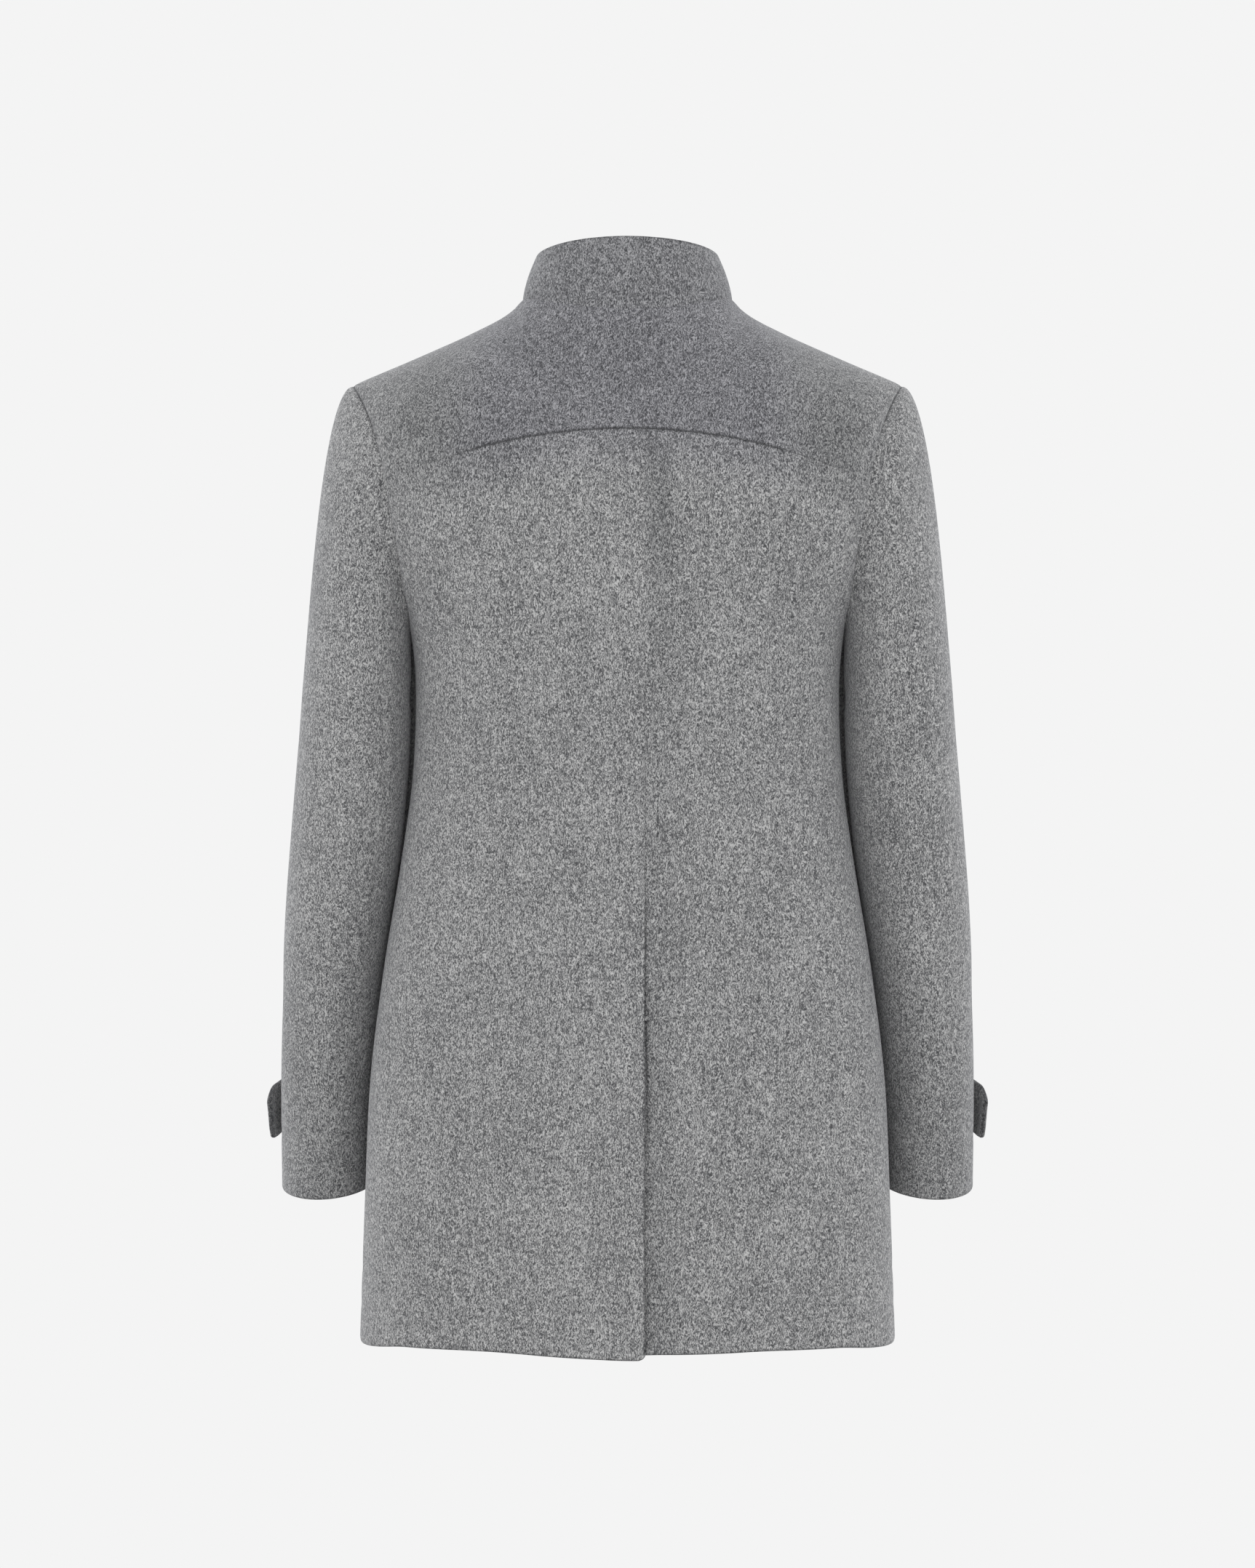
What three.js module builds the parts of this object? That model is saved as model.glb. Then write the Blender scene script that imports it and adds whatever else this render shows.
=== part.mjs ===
// A man's thigh-length wool coat, filled out as if worn, with a stand collar, an arched back yoke,
// a lapped back vent, set-in two-piece sleeves and a buttoned tab on each cuff. Every piece of cloth is
// a wall with its true thickness, so the neck, hem and cuffs are open and the inside is empty.
// Millimetres. +X is the wearer's left, -Y the front, +Z up. The origin is midway between the two neck
// points, where the coat hangs on the wearer's shoulders.
import * as THREE from "three";

// Cloth and seams
const WALL = 2.5; // melton with its lining
const SEAM_GAP = 0.3;
const SEAT_GAP = 0.6; // under a tab or button, which lies on a curved face
const LAP_DROP = WALL + 0.8; // how far the under layer of a lap lies behind the upper one
const WOOL = { color: 0x8c8c8d, roughness: 0.95, metalness: 0 };
const HORN = { color: 0x2c2a2b, roughness: 0.4, metalness: 0 };

// Neck and collar
// Each is an oval whose height changes with a power of the way to its back or front
const NECK = {
  halfWidth: 84.5,
  y: -2,
  z: 5,
  back: { reach: 72, rise: -13, power: 2 },
  front: { reach: 78, rise: -75, power: 1.6 },
};
const COLLAR_TOP = {
  halfWidth: 73,
  y: -8,
  z: 40,
  back: { reach: 70, rise: 9.5, power: 1.2 },
  front: { reach: 70, rise: -52, power: 1.4 },
};
const COLLAR_BOW = 1.5; // how far the stand bows out between its two edges
const COLLAR_LAP = { from: 22, to: 4 }; // degrees before its right end over which it sinks under the left one
const NECK_TURNS = [0, 12, 24, 37, 50, 63, 76, 90]; // degrees round the neck seam, shared by what meets there

// Shoulders and armholes
const SHOULDER_POINT = { x: 221, z: -64, y: -8 };
const UNDERARM_Z = -268;
const ARMHOLE_MID_Z = (SHOULDER_POINT.z + UNDERARM_Z) / 2;
const ARMHOLE_HALF_HEIGHT = (SHOULDER_POINT.z - UNDERARM_Z) / 2;
// How far below the shoulder seam, and below the neck seam, the cloth turns from level to upright, with
// the power of that turn, and the places across between which one gives way to the other
const SHOULDER_ROUND = { drop: 62, power: 0.5 };
const NECK_ROUND = { back: 150, front: 110, power: 1 };
const ROUND_BLEND = { from: 50, to: 125 };

// Seams, laps and hem
const YOKE = { middleZ: -105.5, edgeZ: -143.4, halfWidth: 186, power: 1.97 };
const BACK_SEAM_X = -13.3; // the left back laps over the right, so its edge lies right of the middle
const VENT = { topZ: -570, easeZ: 46, underlap: 40, easeX: 30, turn: 4, corner: 5, cornerShare: 0.03 };
const FRONT_LAP = 22; // each front passes the middle by this much
const FRONT_LAP_EASE = 26;
const LAP_CLEAR = 8; // an under layer is fully sunk this far past the upper layer's edge
const HEM_Z = -834.5;
const UNDER_HEM = { rise: 3.5, from: 0.2, to: 0.9 }; // the right back is shorter at the vent than at its side
const ROUNDNESS = 2.4; // the power of the body's oval sections
const EDGE_POWER = 8; // the seam gap at a piece's side fades inwards with this power of the way across it

// The body's oval, level by level: half width at the side, and reach of the back and front from the middle
const BODY = [
  { z: -60, side: 225, back: 100, front: 94 },
  { z: -100, side: 216, back: 108, front: 105 },
  { z: -140, side: 211, back: 114, front: 117 },
  { z: -185, side: 201, back: 117, front: 125 },
  { z: -229, side: 187.5, back: 116, front: 128 },
  { z: -252, side: 179, back: 115, front: 127.5 },
  { z: -268, side: 173, back: 114, front: 127 },
  { z: -310, side: 169.5, back: 111, front: 122 },
  { z: -380, side: 172.5, back: 108.5, front: 118 },
  { z: -450, side: 182, back: 109.5, front: 118.5 },
  { z: -530, side: 195, back: 113.5, front: 122 },
  { z: -620, side: 206, back: 119, front: 127 },
  { z: -720, side: 210.5, back: 124, front: 131 },
  { z: -834.5, side: 214.5, back: 128, front: 134 },
];
// The shoulder seam's height from the neck point out
const SHOULDER_LINE = [
  { x: 84.5, z: 5 },
  { x: 92, z: -3.5 },
  { x: 104, z: -12 },
  { x: 127, z: -24 },
  { x: 153, z: -35.5 },
  { x: 180, z: -47 },
  { x: 208, z: -58.5 },
  { x: 221, z: -64 },
];
// The armhole seam's distance from the middle, behind and in front
const ARMHOLE = [
  { z: -64, back: 221, front: 221 },
  { z: -81, back: 211.5, front: 210 },
  { z: -102.5, back: 202.5, front: 199 },
  { z: -125, back: 196.3, front: 191.5 },
  { z: -152, back: 191.5, front: 186 },
  { z: -185, back: 185.5, front: 181.5 },
  { z: -206, back: 181.8, front: 179 },
  { z: -229, back: 178.8, front: 177.5 },
  { z: -252, back: 175.8, front: 174.8 },
  { z: -268, back: 173, front: 173 },
];
// The sleeve's ovals below the armhole: middle and half sizes across and front to back
const SLEEVE = [
  { z: -292, x: 216.7, y: 0, across: 43, deep: 66 },
  { z: -346, x: 219.4, y: -2, across: 45, deep: 64 },
  { z: -427, x: 226, y: -8, across: 45.2, deep: 61 },
  { z: -485, x: 232.2, y: -15, across: 43.6, deep: 59 },
  { z: -543, x: 237.8, y: -24, across: 40.9, deep: 57 },
  { z: -613, x: 241.6, y: -35, across: 39.2, deep: 55.5 },
  { z: -709, x: 242.6, y: -51, across: 38.4, deep: 54 },
];
const CUFF_Z = -709;
const CUFF_PITCH = 0.19; // the sleeve swings forward, so its hem is lower behind
const CUFF_LEAN = 0.067; // and lower outside
const SLEEVE_TOP = { reach: 0.3, drop: 0.1, fall: 1 }; // how far the cap runs outwards before it turns down
// Degrees round the sleeve from its outside, its back being 90
const SLEEVE_SEAM = { back: 81, front: -135, gap: 0.2 };
const CAP_ROWS = [0, 0.05, 0.12, 0.22, 0.35, 0.5, 0.65, 0.82];

// Degrees round the armhole from its top: below the yoke, and in front
const BACK_TURNS = [81, 93, 106, 120, 135, 150, 165, 180];
const FRONT_TURNS = [0, 12, 24, 36, 48, 62, 76, 90, 105, 120, 135, 150, 165, 180];
// Places across the shoulder, beyond the neck
const YOKE_PLACES = [95, 108, 125, 145, 166, 187, 206, SHOULDER_POINT.x];
const FRONT_PLACES = [95, 108, 125, 145, 166, 186, 202, 212, 217.5, SHOULDER_POINT.x];
// Levels down the body, below the underarm
const BACK_LEVELS = [-292, -322, -356, -392, -430, -470, -510, -545, VENT.topZ + VENT.turn, VENT.topZ];
BACK_LEVELS.push(-600, -640, -690, -740, -790, HEM_Z);
const FRONT_LEVELS = [-295, -330, -370, -415, -460, -510, -560, -610, -660, -710, -755, -797, HEM_Z];
const STEPS = { yoke: 6, back: 12, collar: 4, sleeve: 12, tabLong: 14, tabWide: 4 };

// The hanging sleeves press the body's sides in, and stay this clear of them
const PRESS = { clear: 3.6, soft: 2.5, easeZ: 60, belowCuff: 0.45, fadeFrom: 20, fadeTo: 90 };
// Soft troughs down the body: where round it, how wide, how deep, and where each starts and is deepest
const TROUGHS = [
  { angle: 48, width: 13, depth: 3.6, topZ: -400, fullZ: -600 },
  { angle: 130, width: 12, depth: 3.2, topZ: -430, fullZ: -640 },
  { angle: 76, width: 8, depth: 1.8, topZ: -560, fullZ: -800 },
  { angle: 107, width: 9, depth: 1.5, topZ: -520, fullZ: -780 },
  { angle: -47, width: 12, depth: 3.4, topZ: -420, fullZ: -640 },
  { angle: -131, width: 13, depth: 3.0, topZ: -400, fullZ: -600 },
  { angle: -70, width: 8, depth: 1.6, topZ: -600, fullZ: -800 },
];

// Cuff tabs and buttons
// A tab runs in degrees round the cuff from its start to its end, and lifts off from `lift` on. Its tip is
// cut back more above than below.
const TAB = {
  thick: 4.5,
  halfWidth: 21,
  z: -647,
  start: -122,
  lift: -38,
  end: 2,
  drop: 5,
  rise: 7.5,
  power: 1.5,
};
const TAB_TIP = { turn: 14, cutAbove: 5.6, cutBelow: 2.8 };
const FRONT_BUTTON = { radius: 13, thick: 4.2, firstZ: -92, step: 100, count: 5 };
const CUFF_BUTTON = { radius: 9.5, thick: 3.6, angle: -64 };
const BUTTON_SIDES = 16;
// The button's profile from the middle of its back to the dish in its face, in shares of its radius and
// thickness
const BUTTON_PROFILE = [
  { r: 0, h: 0 },
  { r: 0.8, h: 0 },
  { r: 1, h: 0.45 },
  { r: 0.93, h: 0.95 },
  { r: 0.85, h: 1 },
  { r: 0.78, h: 0.62 },
  { r: 0, h: 0.62 },
];

const radians = THREE.MathUtils.degToRad;
const lerp = THREE.MathUtils.lerp;
const smoothstep = (from, to, value) => {
  const t = Math.min(1, Math.max(0, (value - from) / (to - from)));
  return t * t * (3 - 2 * t);
};

// A smooth curve through a table's rows: cubic between two rows, each row's slope being that of its
// neighbours.
function along(table, key, column, at) {
  const last = table.length - 1;
  const rising = table[last][key] > table[0][key] ? 1 : -1;
  if ((at - table[0][key]) * rising <= 0) return table[0][column];
  if ((at - table[last][key]) * rising >= 0) return table[last][column];
  let i = 0;
  while ((at - table[i + 1][key]) * rising > 0) i += 1;
  const slope = (k) => {
    const a = table[Math.max(0, k - 1)];
    const b = table[Math.min(last, k + 1)];
    return (b[column] - a[column]) / (b[key] - a[key]);
  };
  const step = table[i + 1][key] - table[i][key];
  const t = (at - table[i][key]) / step;
  const fromHere = (1 + 2 * t) * (1 - t) ** 2 * table[i][column] + t * (1 - t) ** 2 * step * slope(i);
  const fromNext = t * t * (3 - 2 * t) * table[i + 1][column] - t * t * (1 - t) * step * slope(i + 1);
  return fromHere + fromNext;
}

// The body's top edge over a place across it: the neck seam near the middle, the shoulder seam beyond it.
function topEdge(x, side) {
  const across = Math.abs(x);
  if (across >= NECK.halfWidth) {
    const out = (across - NECK.halfWidth) / (SHOULDER_POINT.x - NECK.halfWidth);
    return { y: lerp(NECK.y, SHOULDER_POINT.y, out), z: along(SHOULDER_LINE, "x", "z", across) };
  }
  const way = Math.sqrt(1 - (across / NECK.halfWidth) ** 2);
  const { reach, rise, power } = side > 0 ? NECK.back : NECK.front;
  return { y: NECK.y + side * reach * way, z: NECK.z + rise * way ** power };
}

// How deep the oval is at a place across it, before the shoulders round it off.
function ovalDepth(x, z, side) {
  const share = Math.min(1, Math.abs(x) / along(BODY, "z", "side", z));
  return along(BODY, "z", side > 0 ? "back" : "front", z) * (1 - share ** ROUNDNESS) ** (1 / ROUNDNESS);
}

// How far the hanging sleeve presses a point of the body's side in.
function pressedIn(x, y, z) {
  const off = (y - along(SLEEVE, "z", "y", z)) / along(SLEEVE, "z", "deep", z);
  if (z > SLEEVE[0].z || Math.abs(off) >= 1) return 0;
  const inner = along(SLEEVE, "z", "x", z) - along(SLEEVE, "z", "across", z) * Math.sqrt(1 - off * off);
  const over = (Math.abs(x) - inner + PRESS.clear) / PRESS.soft;
  const eased = smoothstep(SLEEVE[0].z, SLEEVE[0].z - PRESS.easeZ, z);
  const relaxed = lerp(1, PRESS.belowCuff, smoothstep(CUFF_Z - PRESS.fadeFrom, CUFF_Z - PRESS.fadeTo, z));
  return PRESS.soft * Math.log1p(Math.exp(over)) * eased * relaxed;
}

// Rounds the oval off towards the shoulder or neck seam above it, adds the troughs and the arms' pressure.
function shaped(x, y, z, side) {
  const top = topEdge(x, side);
  const outward = smoothstep(ROUND_BLEND.from, ROUND_BLEND.to, Math.abs(x));
  const round = lerp(side > 0 ? NECK_ROUND.back : NECK_ROUND.front, SHOULDER_ROUND.drop, outward);
  const left = 1 - Math.min(1, Math.max(0, top.z - z) / round);
  const turned = (1 - left * left) ** lerp(NECK_ROUND.power, SHOULDER_ROUND.power, outward);
  const angle = Math.atan2(y, x);
  let pushed = 0;
  for (const trough of TROUGHS) {
    const away = (THREE.MathUtils.radToDeg(angle) - trough.angle) / trough.width;
    pushed += trough.depth * smoothstep(trough.topZ, trough.fullZ, z) * Math.exp(-away * away);
  }
  const pressed = pressedIn(x, y, z);
  return new THREE.Vector3(
    x - pushed * Math.cos(angle) - pressed * Math.sign(x),
    top.y + (y - top.y) * turned - pushed * Math.sin(angle) + (side * SEAM_GAP) / 2,
    z,
  );
}

// A point of the body at a place across it, and one at an angle round it.
const bodyAcross = (x, z, side) => shaped(x, side * ovalDepth(x, z, side), z, side);
function bodyAround(angle, z, side) {
  const acrossShare = Math.abs(Math.cos(angle)) / along(BODY, "z", "side", z);
  const deepShare = Math.abs(Math.sin(angle)) / along(BODY, "z", side > 0 ? "back" : "front", z);
  const reach = (acrossShare ** ROUNDNESS + deepShare ** ROUNDNESS) ** (-1 / ROUNDNESS);
  return shaped(reach * Math.cos(angle), reach * Math.sin(angle), z, side);
}

const armholeX = (z, side) => along(ARMHOLE, "z", side > 0 ? "back" : "front", z);
// The yoke's arched seam: highest in the middle, and falling with a power of the way to its end.
function yokeZ(x) {
  const share = Math.min(1, Math.abs(x) / YOKE.halfWidth);
  return YOKE.middleZ + (YOKE.edgeZ - YOKE.middleZ) * share ** YOKE.power;
}

// A closed wall from a grid of outer points: the inner ones lie one thickness behind them, square to the
// slopes measured a nudge to each side. `squared` sets the last column's own way in where two walls meet edge
// to edge.
const NUDGE = 0.004;
function wall(surface, columns, rows, inward, { thick = WALL, squared = null } = {}) {
  const wide = columns.length;
  const tall = rows.length;
  const outer = [];
  const inner = [];
  const between = (list, place) => Math.min(list[list.length - 1], Math.max(list[0], place));
  for (const v of rows) {
    for (const u of columns) {
      const point = surface(u, v);
      const alongU = surface(between(columns, u + NUDGE), v).sub(surface(between(columns, u - NUDGE), v));
      const alongV = surface(u, between(rows, v + NUDGE)).sub(surface(u, between(rows, v - NUDGE)));
      const behind = alongU.cross(alongV).normalize();
      if (squared && u === columns[wide - 1]) squared(behind, v);
      behind.multiplyScalar(inward * thick);
      outer.push(point);
      inner.push(point.clone().add(behind));
    }
  }
  const positions = [...outer, ...inner].flatMap((p) => p.toArray());
  const far = wide * tall;
  const faces = [];
  const quad = (a, b, c, d) => faces.push(a, b, c, a, c, d);
  for (let j = 0; j < tall - 1; j += 1) {
    for (let i = 0; i < wide - 1; i += 1) {
      const a = j * wide + i;
      quad(a, a + 1, a + wide + 1, a + wide);
      quad(far + a, far + a + wide, far + a + wide + 1, far + a + 1);
    }
  }
  const rim = [];
  for (let i = 0; i < wide - 1; i += 1) rim.push(i);
  for (let j = 0; j < tall - 1; j += 1) rim.push(j * wide + wide - 1);
  for (let i = wide - 1; i > 0; i -= 1) rim.push((tall - 1) * wide + i);
  for (let j = tall - 1; j > 0; j -= 1) rim.push(j * wide);
  rim.forEach((a, k) => {
    const b = rim[(k + 1) % rim.length];
    quad(a, far + a, far + b, b);
  });
  return facingOut(positions, faces);
}

// Turns the faces round where they enclose a negative volume.
function facingOut(positions, faces) {
  const corner = (k) => new THREE.Vector3().fromArray(positions, 3 * k);
  let volume = 0;
  for (let i = 0; i < faces.length; i += 3) {
    volume += corner(faces[i]).dot(corner(faces[i + 1]).cross(corner(faces[i + 2])));
  }
  const geometry = new THREE.BufferGeometry();
  geometry.setAttribute("position", new THREE.Float32BufferAttribute(positions, 3));
  geometry.setIndex(volume < 0 ? faces.reverse() : faces);
  return geometry;
}

const coat = new THREE.Group();
function add(name, geometry, finish = WOOL) {
  const mesh = new THREE.Mesh(geometry, new THREE.MeshStandardMaterial(finish));
  mesh.name = name;
  coat.add(mesh);
  return mesh;
}
const steps = (from, to, count) => Array.from({ length: count + 1 }, (_, i) => lerp(from, to, i / count));

// The armhole runs round in degrees from its top, and the sleeve's columns leave it at the body's own rows.
const armholeZ = (degrees) => ARMHOLE_MID_Z + ARMHOLE_HALF_HEIGHT * Math.cos(radians(degrees));
const armholeDegrees = (z) => THREE.MathUtils.radToDeg(Math.acos((z - ARMHOLE_MID_Z) / ARMHOLE_HALF_HEIGHT));
const YOKE_TURNS = steps(0, armholeDegrees(YOKE.edgeZ), STEPS.yoke);
const aboveFrontSeam = FRONT_TURNS.filter((turn) => turn > 0 && turn <= -SLEEVE_SEAM.front);
const belowFrontSeam = FRONT_TURNS.filter((turn) => turn < 180 && turn >= -SLEEVE_SEAM.front);
const sleeveTurns = [
  ...aboveFrontSeam.map((turn) => -turn).reverse(),
  ...YOKE_TURNS,
  ...BACK_TURNS,
  ...belowFrontSeam.map((turn) => 360 - turn).reverse(),
];

// Places across the neck seam, from its middle out.
const neckPlaces = NECK_TURNS.map((turn) => NECK.halfWidth * Math.cos(radians(turn))).reverse();

// The yoke lies between the neck, the shoulder seams, the armholes and its arched seam.
function backYoke() {
  const shares = [...neckPlaces, ...YOKE_PLACES].map((x) => x / SHOULDER_POINT.x);
  const columns = [...shares.slice(1).reverse().map((share) => -share), ...shares];
  const surface = (share, degrees) => {
    const z = armholeZ(degrees);
    const top = topEdge(share * SHOULDER_POINT.x, 1).z;
    const foot = yokeZ(share * armholeX(YOKE.edgeZ, 1)) + SEAM_GAP / 2;
    const down = (z - SHOULDER_POINT.z) / (YOKE.edgeZ - SHOULDER_POINT.z);
    const point = bodyAcross(share * armholeX(z, 1), lerp(top, foot, down), 1);
    point.x -= (Math.sign(share) * Math.abs(share) ** EDGE_POWER * SEAM_GAP) / 2;
    return point;
  };
  return wall(surface, columns, YOKE_TURNS, -1);
}

// One half of the body, behind or in front, from its middle edge to the armhole and side seam.
// Its own x runs towards its side. Rows go round the armhole in degrees, then on below it to the hem.
const UNDERARM_ROW = 180;
const ROWS_BELOW = 100;
function bodyHalf({ hand, side, edgeX, turns, topZ, hemZ, under, columns, levels }) {
  const firstZ = armholeZ(turns[0]);
  const middleAngle = (z) => Math.atan2(side * ovalDepth(edgeX(z), z, side), edgeX(z));
  const across = (share, z) => {
    const level = Math.max(z, UNDERARM_Z);
    return lerp(edgeX(level), armholeX(level, side), share);
  };
  const surface = (share, row) => {
    let point;
    if (row <= UNDERARM_ROW) {
      const z = armholeZ(row);
      const level = lerp(topZ(across(share, firstZ)), UNDERARM_Z, (z - firstZ) / (UNDERARM_Z - firstZ));
      point = bodyAcross(across(share, z), level, side);
    } else {
      const z = lerp(UNDERARM_Z, hemZ(share), (row - UNDERARM_ROW) / ROWS_BELOW);
      const x = across(share, UNDERARM_Z);
      const first = middleAngle(UNDERARM_Z);
      const around = 1 - Math.atan2(side * ovalDepth(x, UNDERARM_Z, side), x) / first;
      point = bodyAround(lerp(middleAngle(z), 0, around), z, side);
    }
    point.x -= (share ** EDGE_POWER * SEAM_GAP) / 2;
    point.y -= side * under(point.x, point.z);
    point.x *= hand;
    return point;
  };
  const rows = levels.map((z) => UNDERARM_ROW + (ROWS_BELOW * (z - UNDERARM_Z)) / (HEM_Z - UNDERARM_Z));
  const squared = (behind, row) => {
    if (row > UNDERARM_ROW) behind.setY(0).normalize();
  };
  return wall(surface, columns, [...turns, ...rows], -hand * side, { squared });
}

// Shares of the way from a half's middle edge to its armhole, closer together near the side.
const spread = (count) => steps(0, 1, count).map((t) => Math.sin((t * Math.PI) / 2));

function backHalf(hand) {
  const left = hand > 0;
  const edge = BACK_SEAM_X * hand + SEAM_GAP / 2;
  const open = (z) => smoothstep(VENT.topZ + VENT.turn, VENT.topZ, z);
  const beside = (x) => smoothstep(edge + VENT.easeX, edge + LAP_CLEAR, x);
  const below = (z) => smoothstep(VENT.topZ + VENT.easeZ, VENT.topZ + VENT.turn, z);
  return bodyHalf({
    hand,
    side: 1,
    edgeX: left ? () => edge : (z) => edge - VENT.underlap * open(z),
    turns: [armholeDegrees(YOKE.edgeZ - SEAM_GAP / 2), ...BACK_TURNS],
    topZ: (x) => yokeZ(x) - SEAM_GAP / 2,
    hemZ: left
      ? (share) => HEM_Z + VENT.corner * (1 - smoothstep(0, VENT.cornerShare, share))
      : (share) => HEM_Z + UNDER_HEM.rise * (1 - smoothstep(UNDER_HEM.from, UNDER_HEM.to, share)),
    under: left ? () => 0 : (x, z) => LAP_DROP * beside(x) * below(z),
    columns: left ? [0, VENT.cornerShare, ...spread(STEPS.back - 1).slice(1)] : spread(STEPS.back),
    levels: BACK_LEVELS,
  });
}

function frontHalf(hand) {
  const places = [-FRONT_LAP, ...neckPlaces, ...FRONT_PLACES];
  const sunkBy = FRONT_LAP + LAP_CLEAR;
  return bodyHalf({
    hand,
    side: -1,
    edgeX: () => -FRONT_LAP,
    turns: FRONT_TURNS,
    topZ: (x) => topEdge(x, -1).z,
    hemZ: () => HEM_Z,
    under: hand > 0 ? () => 0 : (x) => LAP_DROP * smoothstep(sunkBy + FRONT_LAP_EASE, sunkBy, x),
    columns: places.map((x) => (x + FRONT_LAP) / (SHOULDER_POINT.x + FRONT_LAP)),
    levels: FRONT_LEVELS,
  });
}

// The collar stands on the neck seam. Its left end laps over its right end at the front.
function collar() {
  const ring = (oval, turn) => {
    const angle = radians(turn);
    const deep = Math.sin(angle);
    const { reach, rise, power } = deep > 0 ? oval.back : oval.front;
    return new THREE.Vector3(
      oval.halfWidth * Math.cos(angle),
      oval.y + reach * deep,
      oval.z + rise * Math.abs(deep) ** power,
    );
  };
  const lapTurn = THREE.MathUtils.radToDeg(Math.asin(FRONT_LAP / NECK.halfWidth));
  const rightEnd = -90 - lapTurn;
  const quarter = (start, way) => NECK_TURNS.map((turn) => start + way * turn);
  const turns = [
    -450 - lapTurn,
    ...quarter(-360, -1).reverse(),
    ...quarter(-360, 1).slice(1),
    ...quarter(-180, -1).reverse().slice(1),
    ...quarter(-180, 1).slice(1),
    -90 + lapTurn,
  ];
  const surface = (turn, up) => {
    const low = ring(NECK, turn);
    low.z += SEAM_GAP;
    const point = low.lerp(ring(COLLAR_TOP, turn), up);
    const bow = COLLAR_BOW * Math.sin(Math.PI * up);
    const sunk = LAP_DROP * smoothstep(rightEnd - COLLAR_LAP.from, rightEnd - COLLAR_LAP.to, turn);
    point.x += bow * Math.cos(radians(turn));
    point.y += bow * Math.sin(radians(turn)) + sunk;
    return point;
  };
  return wall(surface, turns, steps(0, 1, STEPS.collar), -1);
}

// A point of the left sleeve: degrees round it from its outside, and down it from the armhole (0) through the
// level below the arm (1) to the cuff (2).
function sleevePoint(degrees, down) {
  const turn = radians(degrees);
  const section = (z) => {
    const deep = along(SLEEVE, "z", "deep", z) * Math.sin(turn);
    const across = along(SLEEVE, "z", "across", z) * Math.cos(turn);
    const swung = smoothstep(SLEEVE[0].z, CUFF_Z, z);
    return new THREE.Vector3(
      along(SLEEVE, "z", "x", z) + across,
      along(SLEEVE, "z", "y", z) + deep,
      z - CUFF_PITCH * swung * deep - CUFF_LEAN * swung * across,
    );
  };
  if (down >= 1) return section(lerp(SLEEVE[0].z, CUFF_Z, down - 1));
  const side = Math.sin(turn) >= 0 ? 1 : -1;
  const seamZ = armholeZ(degrees);
  const start = bodyAcross(armholeX(seamZ, side), seamZ, side);
  start.y -= (side * SEAM_GAP) / 2;
  const end = section(SLEEVE[0].z);
  const length = start.distanceTo(end);
  start.x += SEAM_GAP / 2;
  const out = new THREE.Vector3(1, 0, -SLEEVE_TOP.drop).multiplyScalar(SLEEVE_TOP.reach * length);
  const fall = section(SLEEVE[0].z - 1).sub(end).normalize().multiplyScalar(SLEEVE_TOP.fall * length);
  // From the armhole out and over, then down into the sleeve
  return start
    .multiplyScalar((1 + 2 * down) * (1 - down) ** 2)
    .addScaledVector(out, down * (1 - down) ** 2)
    .addScaledVector(end, down * down * (3 - 2 * down))
    .addScaledVector(fall, -down * down * (1 - down));
}

function sleevePiece(hand, turns) {
  const surface = (degrees, down) => {
    const point = sleevePoint(degrees, down);
    point.x *= hand;
    return point;
  };
  const last = turns[turns.length - 1];
  const columns = [turns[0] + SLEEVE_SEAM.gap, ...turns.slice(1, -1), last - SLEEVE_SEAM.gap];
  return wall(surface, columns, [...CAP_ROWS, ...steps(1, 2, STEPS.sleeve)], hand);
}

// The tab is sewn in at the front of the cuff, wraps round to the outside and lifts off at its tip.
// This gives the sleeve's point under it, and the way out of the cloth there.
function tabFrame(hand, degrees, height) {
  const at = (turn, up) => sleevePoint(turn, 1 + (TAB.z + up - SLEEVE[0].z) / (CUFF_Z - SLEEVE[0].z));
  const point = at(degrees, height);
  const ahead = at(degrees + 1, height).sub(at(degrees - 1, height));
  const out = ahead.cross(at(degrees, height + 1).sub(at(degrees, height - 1))).normalize();
  point.x *= hand;
  out.x *= hand;
  return { point, out };
}
function cuffTab(hand) {
  const surface = (degrees, share) => {
    const tip = smoothstep(TAB.end - TAB_TIP.turn, TAB.end, degrees) * Math.abs(share);
    const height = share * (TAB.halfWidth - tip * (share > 0 ? TAB_TIP.cutAbove : TAB_TIP.cutBelow));
    const lifting = smoothstep(TAB.lift, TAB.end, degrees);
    const { point, out } = tabFrame(hand, degrees, height - TAB.drop * lifting);
    return point.addScaledVector(out, SEAT_GAP + TAB.thick + TAB.rise * lifting ** TAB.power);
  };
  const columns = steps(TAB.start, TAB.end, STEPS.tabLong);
  return wall(surface, columns, steps(-1, 1, STEPS.tabWide), -hand, { thick: TAB.thick });
}

// A sew-through button, a disc with a raised rim, lying on a face that points along `out`.
function button(name, { radius, thick }, point, out) {
  const profile = BUTTON_PROFILE.map(({ r, h }) => new THREE.Vector2(radius * r, thick * h));
  const disc = new THREE.LatheGeometry(profile, BUTTON_SIDES);
  disc.rotateX(Math.PI / 2);
  const mesh = add(name, disc, HORN);
  mesh.position.copy(point).addScaledVector(out, SEAT_GAP);
  mesh.quaternion.setFromUnitVectors(new THREE.Vector3(0, 0, 1), out);
}

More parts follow.
